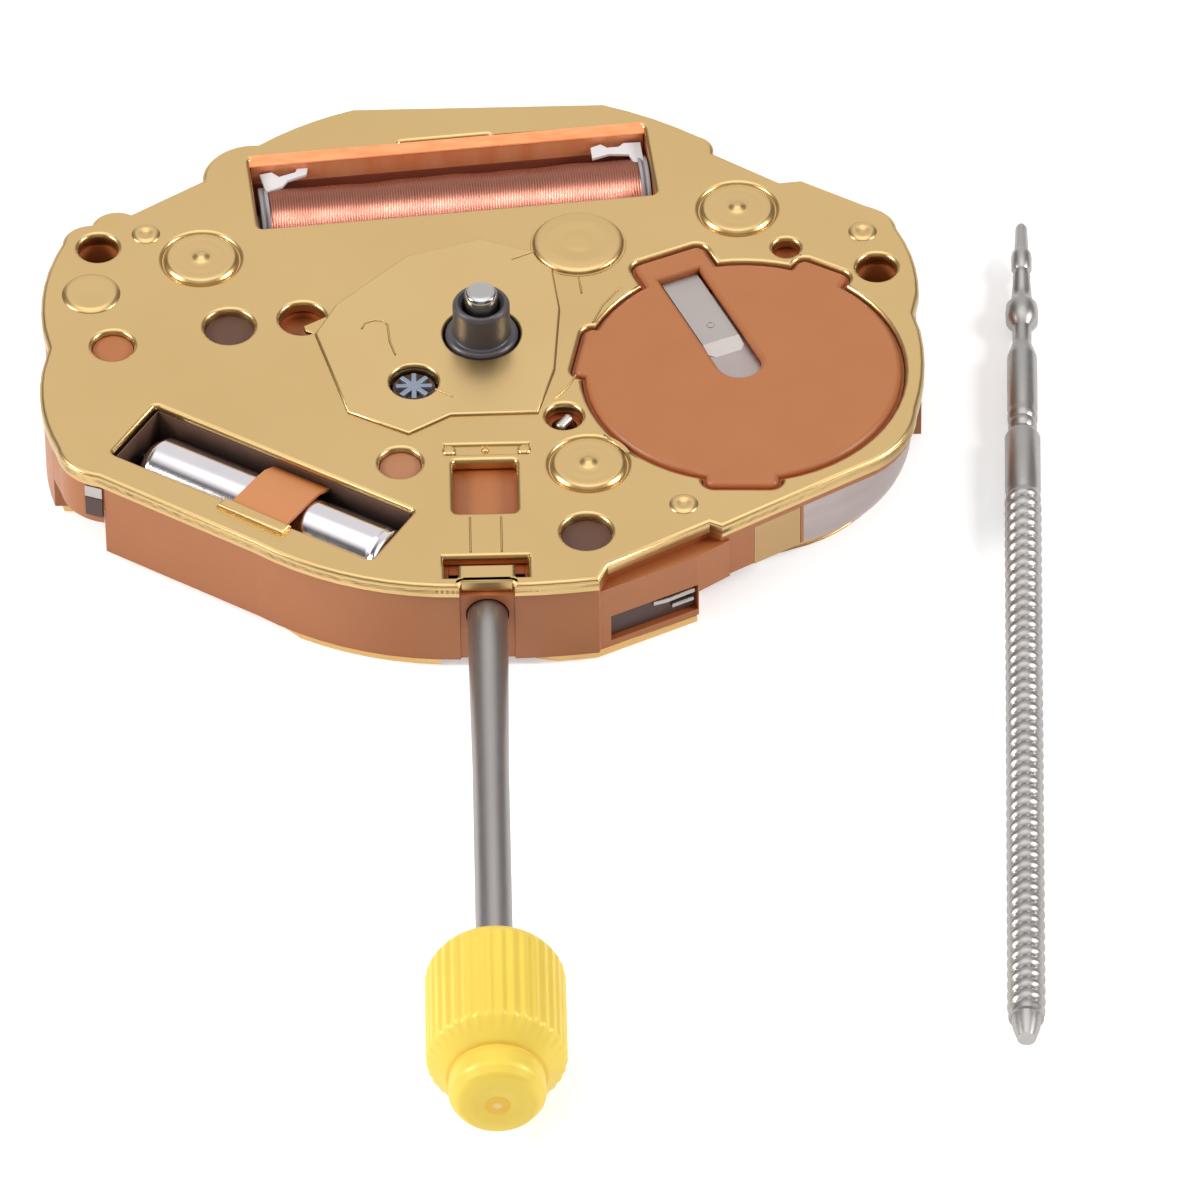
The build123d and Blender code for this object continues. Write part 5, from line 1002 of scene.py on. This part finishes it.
CROWN_FLUTES = 36
CROWN_RADIUS = 1.345
CROWN_START = 17.05
CROWN_BODY_END = 20.00
CROWN_END = 20.80
FLUTE_DEPTH = 0.018
FLUTE_FADE = 0.35


def fluted(distance, angle):
    """Soft flutes that fade out towards both ends of the crown's body."""
    starting = max(0.0, (distance - CROWN_START - 0.10) / FLUTE_FADE)
    ending = max(0.0, (CROWN_BODY_END - 0.15 - distance) / FLUTE_FADE)
    fade = min(1.0, starting, ending)
    return FLUTE_DEPTH * fade * math.cos(CROWN_FLUTES * angle)


crown_corners = [(CROWN_START + 0.45, 0.37), (CROWN_START, 0.37), (CROWN_START, 1.00),
                 (CROWN_START + 0.10, 1.22), (CROWN_START + 0.34, CROWN_RADIUS),
                 (CROWN_BODY_END - 0.42, CROWN_RADIUS), (CROWN_BODY_END, 0.99),
                 (CROWN_BODY_END + 0.04, 0.90), (CROWN_BODY_END + 0.14, 0.93), (CROWN_END - 0.30, 0.94),
                 (CROWN_END - 0.07, 0.78), (CROWN_END, 0.50), (CROWN_END - 0.03, 0.16), (CROWN_END - 0.03, 0)]
crown_profile = [(CROWN_START + 0.45, 0)]
for before, after in zip(crown_corners, crown_corners[1:]):
    pieces = 10 if abs(after[0] - before[0]) > 1 else 2
    for step in range(pieces):
        share = step / pieces
        crown_profile.append(tuple(low + (high - low) * share for low, high in zip(before, after)))
crown_profile.append(crown_corners[-1])
lathe("crown_body", crown_profile, STEM_LINE, "crown_gold", direction=STEM_DIRECTION, rounding=0.08,
      segments=360, wave=fluted, body="stem", replaced=["crown"])

CROWN_DISCS = {
    "crown_end": ((0.06, 0.44), (0.022, 0.40), "crown_core"),
    "crown_centre": ((0.05, 0.11), (0.012, 0.08), "crown_dot"),
}
for name, ((depth, wide), (rise, narrow), look) in CROWN_DISCS.items():
    low, high = CROWN_END - depth, CROWN_END - rise
    lathe(name, [(low, 0), (low, wide), (high, narrow), (high, 0)], STEM_LINE, "crown_gold",
          direction=STEM_DIRECTION, rounding=0.015, body="stem", look=look)

# Spare stem with its rolled thread
SPARE_START = (11.16, 5.05)
SPARE_ANGLE = -92.36
SPARE_RADIUS = 0.375
SPARE_LENGTH = 23.38
THREAD_PITCH = 0.295
THREAD_DEPTH = 0.075
spare_height = cover_low.z + SPARE_RADIUS
spare_heads = [(0, 0), (0.02, 0.08), (0.12, 0.125), (0.80, 0.150), (0.90, 0.200), (1.02, 0.215),
               (1.36, 0.205), (1.44, 0.160), (1.60, 0.180), (1.62, 0.172), (2.10, 0.200), (2.12, 0.192),
               (2.34, 0.228), (2.42, 0.262), (2.52, 0.325), (2.72, 0.337), (2.96, 0.325), (3.10, 0.240),
               (3.16, 0.196), (3.62, 0.192), (3.72, 0.215), (4.02, 0.300), (4.10, 0.308), (5.60, 0.308),
               (5.66, 0.296), (5.78, 0.306), (5.90, 0.306), (5.98, 0.262), (6.06, 0.290), (6.14, 0.290),
               (6.24, 0.240), (6.38, 0.330), (6.46, 0.362), (7.98, 0.362), (8.06, 0.350)]
THREAD_START = 8.10
THREAD_END = 22.85
THREAD_FADE = 0.25
STEPS_A_THREAD = 12
thread_steps = int((THREAD_END - THREAD_START) / THREAD_PITCH * STEPS_A_THREAD)
thread = [(THREAD_START + (THREAD_END - THREAD_START) * step / thread_steps, SPARE_RADIUS - THREAD_DEPTH)
          for step in range(thread_steps + 1)]


def threaded(distance, angle):
    """Rounded thread, run out at both ends."""
    if distance < THREAD_START or distance > THREAD_END:
        return 0
    turn = distance / THREAD_PITCH - angle / (2 * math.pi)
    ridge = abs(math.sin(math.pi * turn)) ** 0.8
    fade = min(1.0, (distance - THREAD_START) / THREAD_FADE, (THREAD_END - distance) / THREAD_FADE)
    return THREAD_DEPTH * (ridge * fade + (1 - fade) * 0.6)


spare_profile = spare_heads + thread + [(23.10, 0.26), (SPARE_LENGTH, 0.18), (SPARE_LENGTH, 0)]
lathe("spare_stem_turned", spare_profile, (*SPARE_START, spare_height), "screw_steel",
      direction=heading(SPARE_ANGLE), segments=64, wave=threaded, replaced=["spare_stem"],
      look="thread_steel")


# Stage, light and camera
FLOOR_HEIGHT = cover_low.z - 0.005
FLOOR_SIZE = 600.0
IMAGE_SIZE = 1200
SENSOR = 36.0
CAMERA_DISTANCE = 250.0
CAMERA_ELEVATION = 42.5
CAMERA_ROLL = 0.7
PIXELS_PER_MM = 49.5
ORIGIN_PIXEL = (484, 334)
FRONT_LEVEL = 0.34
FRONT_SPAN = (-0.55, 0.60)
SIDE_LEVEL = 0.18
SIDE_SPAN = (0.22, 0.62)
TOP_LEVEL = 1.3
TOP_SPAN = (0.80, 0.93)
DIFFUSE_LEVEL = 0.58
DIFFUSE_SWING = 0.22
DIFFUSE_SPAN = (-0.8, 0.8)
FLOOR_COLOUR = (0.86, 0.86, 0.86, 1)
FLOOR_LIFT = 0.42
FLOOR_ROUGHNESS = 0.9
LAMP_ELEVATION = 34
LAMP_DISTANCE = 180
LAMP_SIZE = 50


def faded(tree, value, span, low, high):
    """Soft change from one level to another over a span of a value."""
    return ranged(tree, value, *span, low, high, kind="SMOOTHSTEP")


def seen_directly(tree):
    """Share of 1 for rays from the camera and for rays off or through glossy pieces."""
    path = tree.nodes.new("ShaderNodeLightPath").outputs
    straight = calculated(tree, "MAXIMUM", path["Is Camera Ray"], path["Is Glossy Ray"])
    return calculated(tree, "MAXIMUM", straight, path["Is Transmission Ray"])


def build_world():
    """White surroundings to look at, soft ones to light with, and dark sides and front for the metal."""
    world = bpy.data.worlds.new("surroundings")
    bpy.context.scene.world = world
    world.use_nodes = True
    tree = world.node_tree
    tree.nodes.clear()
    path = tree.nodes.new("ShaderNodeLightPath").outputs
    place = tree.nodes.new("ShaderNodeTexCoord")
    split = tree.nodes.new("ShaderNodeSeparateXYZ")
    tree.links.new(place.outputs["Generated"], split.inputs[0])
    across, along, upward = split.outputs
    front = faded(tree, along, FRONT_SPAN, FRONT_LEVEL, 1.0)
    sides = faded(tree, calculated(tree, "ABSOLUTE", across), SIDE_SPAN, 1.0, SIDE_LEVEL)
    above = faded(tree, upward, TOP_SPAN, 0.0, TOP_LEVEL)
    glossy = calculated(tree, "ADD", calculated(tree, "MULTIPLY", front, sides), above)
    soft = faded(tree, across, DIFFUSE_SPAN, DIFFUSE_LEVEL + DIFFUSE_SWING, DIFFUSE_LEVEL - DIFFUSE_SWING)
    lighting = mixed(tree, path["Is Glossy Ray"], soft, glossy, "FLOAT")
    back = tree.nodes.new("ShaderNodeBackground")
    back.inputs["Color"].default_value = (1, 1, 1, 1)
    tree.links.new(mixed(tree, path["Is Camera Ray"], lighting, 1.0, "FLOAT"), back.inputs["Strength"])
    out = tree.nodes.new("ShaderNodeOutputWorld")
    tree.links.new(back.outputs[0], out.inputs["Surface"])


def build_floor():
    """Pale floor that looks white and keeps the object's shadow."""
    bpy.ops.mesh.primitive_plane_add(size=FLOOR_SIZE * MM, location=(0, 0, FLOOR_HEIGHT * MM))
    floor = bpy.context.object
    floor.name = "floor"
    material = bpy.data.materials.new("floor")
    material.use_nodes = True
    tree = material.node_tree
    shader = tree.nodes["Principled BSDF"]
    shader.inputs["Base Color"].default_value = FLOOR_COLOUR
    shader.inputs["Roughness"].default_value = FLOOR_ROUGHNESS
    shader.inputs["Specular IOR Level"].default_value = 0.0
    shader.inputs["Emission Color"].default_value = (1, 1, 1, 1)
    lift = calculated(tree, "MULTIPLY", seen_directly(tree), FLOOR_LIFT)
    tree.links.new(lift, shader.inputs["Emission Strength"])
    floor.data.materials.append(material)


def add_lamp(name, azimuth, power):
    """Soft square lamp that looks at the movement's middle."""
    data = bpy.data.lights.new(name, "AREA")
    data.shape = "SQUARE"
    data.size = LAMP_SIZE * MM
    data.energy = power
    lamp = bpy.data.objects.new(name, data)
    bpy.context.scene.collection.objects.link(lamp)
    turn, rise = math.radians(azimuth), math.radians(LAMP_ELEVATION)
    direction = Vector((math.cos(rise) * math.cos(turn), math.cos(rise) * math.sin(turn), math.sin(rise)))
    lamp.location = direction * LAMP_DISTANCE * MM
    lamp.rotation_euler = direction.to_track_quat("Z", "Y").to_euler()


def build_camera():
    """Camera from the front and above, aimed so that the origin falls on its pixel."""
    rise, roll = math.radians(CAMERA_ELEVATION), math.radians(CAMERA_ROLL)
    right = Vector((1, 0, 0))
    up = Vector((0, math.sin(rise), math.cos(rise)))
    across = IMAGE_SIZE / 2 - ORIGIN_PIXEL[0]
    above = ORIGIN_PIXEL[1] - IMAGE_SIZE / 2
    aim_right = (across * math.cos(roll) + above * math.sin(roll)) / PIXELS_PER_MM
    aim_up = (above * math.cos(roll) - across * math.sin(roll)) / PIXELS_PER_MM
    target = right * aim_right + up * aim_up
    place = Vector((0, -math.cos(rise), math.sin(rise))) * CAMERA_DISTANCE
    forward = (target - place).normalized()
    level_right = forward.cross(Vector((0, 0, 1))).normalized()
    level_up = level_right.cross(forward)
    camera_right = level_right * math.cos(roll) - level_up * math.sin(roll)
    camera_up = level_right * math.sin(roll) + level_up * math.cos(roll)
    data = bpy.data.cameras.new("camera")
    data.sensor_width = SENSOR
    data.lens = SENSOR * CAMERA_DISTANCE * PIXELS_PER_MM / IMAGE_SIZE
    data.clip_start = 1 * MM
    camera = bpy.data.objects.new("camera", data)
    bpy.context.scene.collection.objects.link(camera)
    turned = Matrix((camera_right, camera_up, -forward)).transposed().to_4x4()
    camera.matrix_world = Matrix.Translation(place * MM) @ turned
    bpy.context.scene.camera = camera


build_world()
build_floor()
add_lamp("lamp_left", 187, 0.20)
add_lamp("lamp_right", -7, 0.18)
build_camera()
bpy.context.scene.view_settings.view_transform = "Standard"
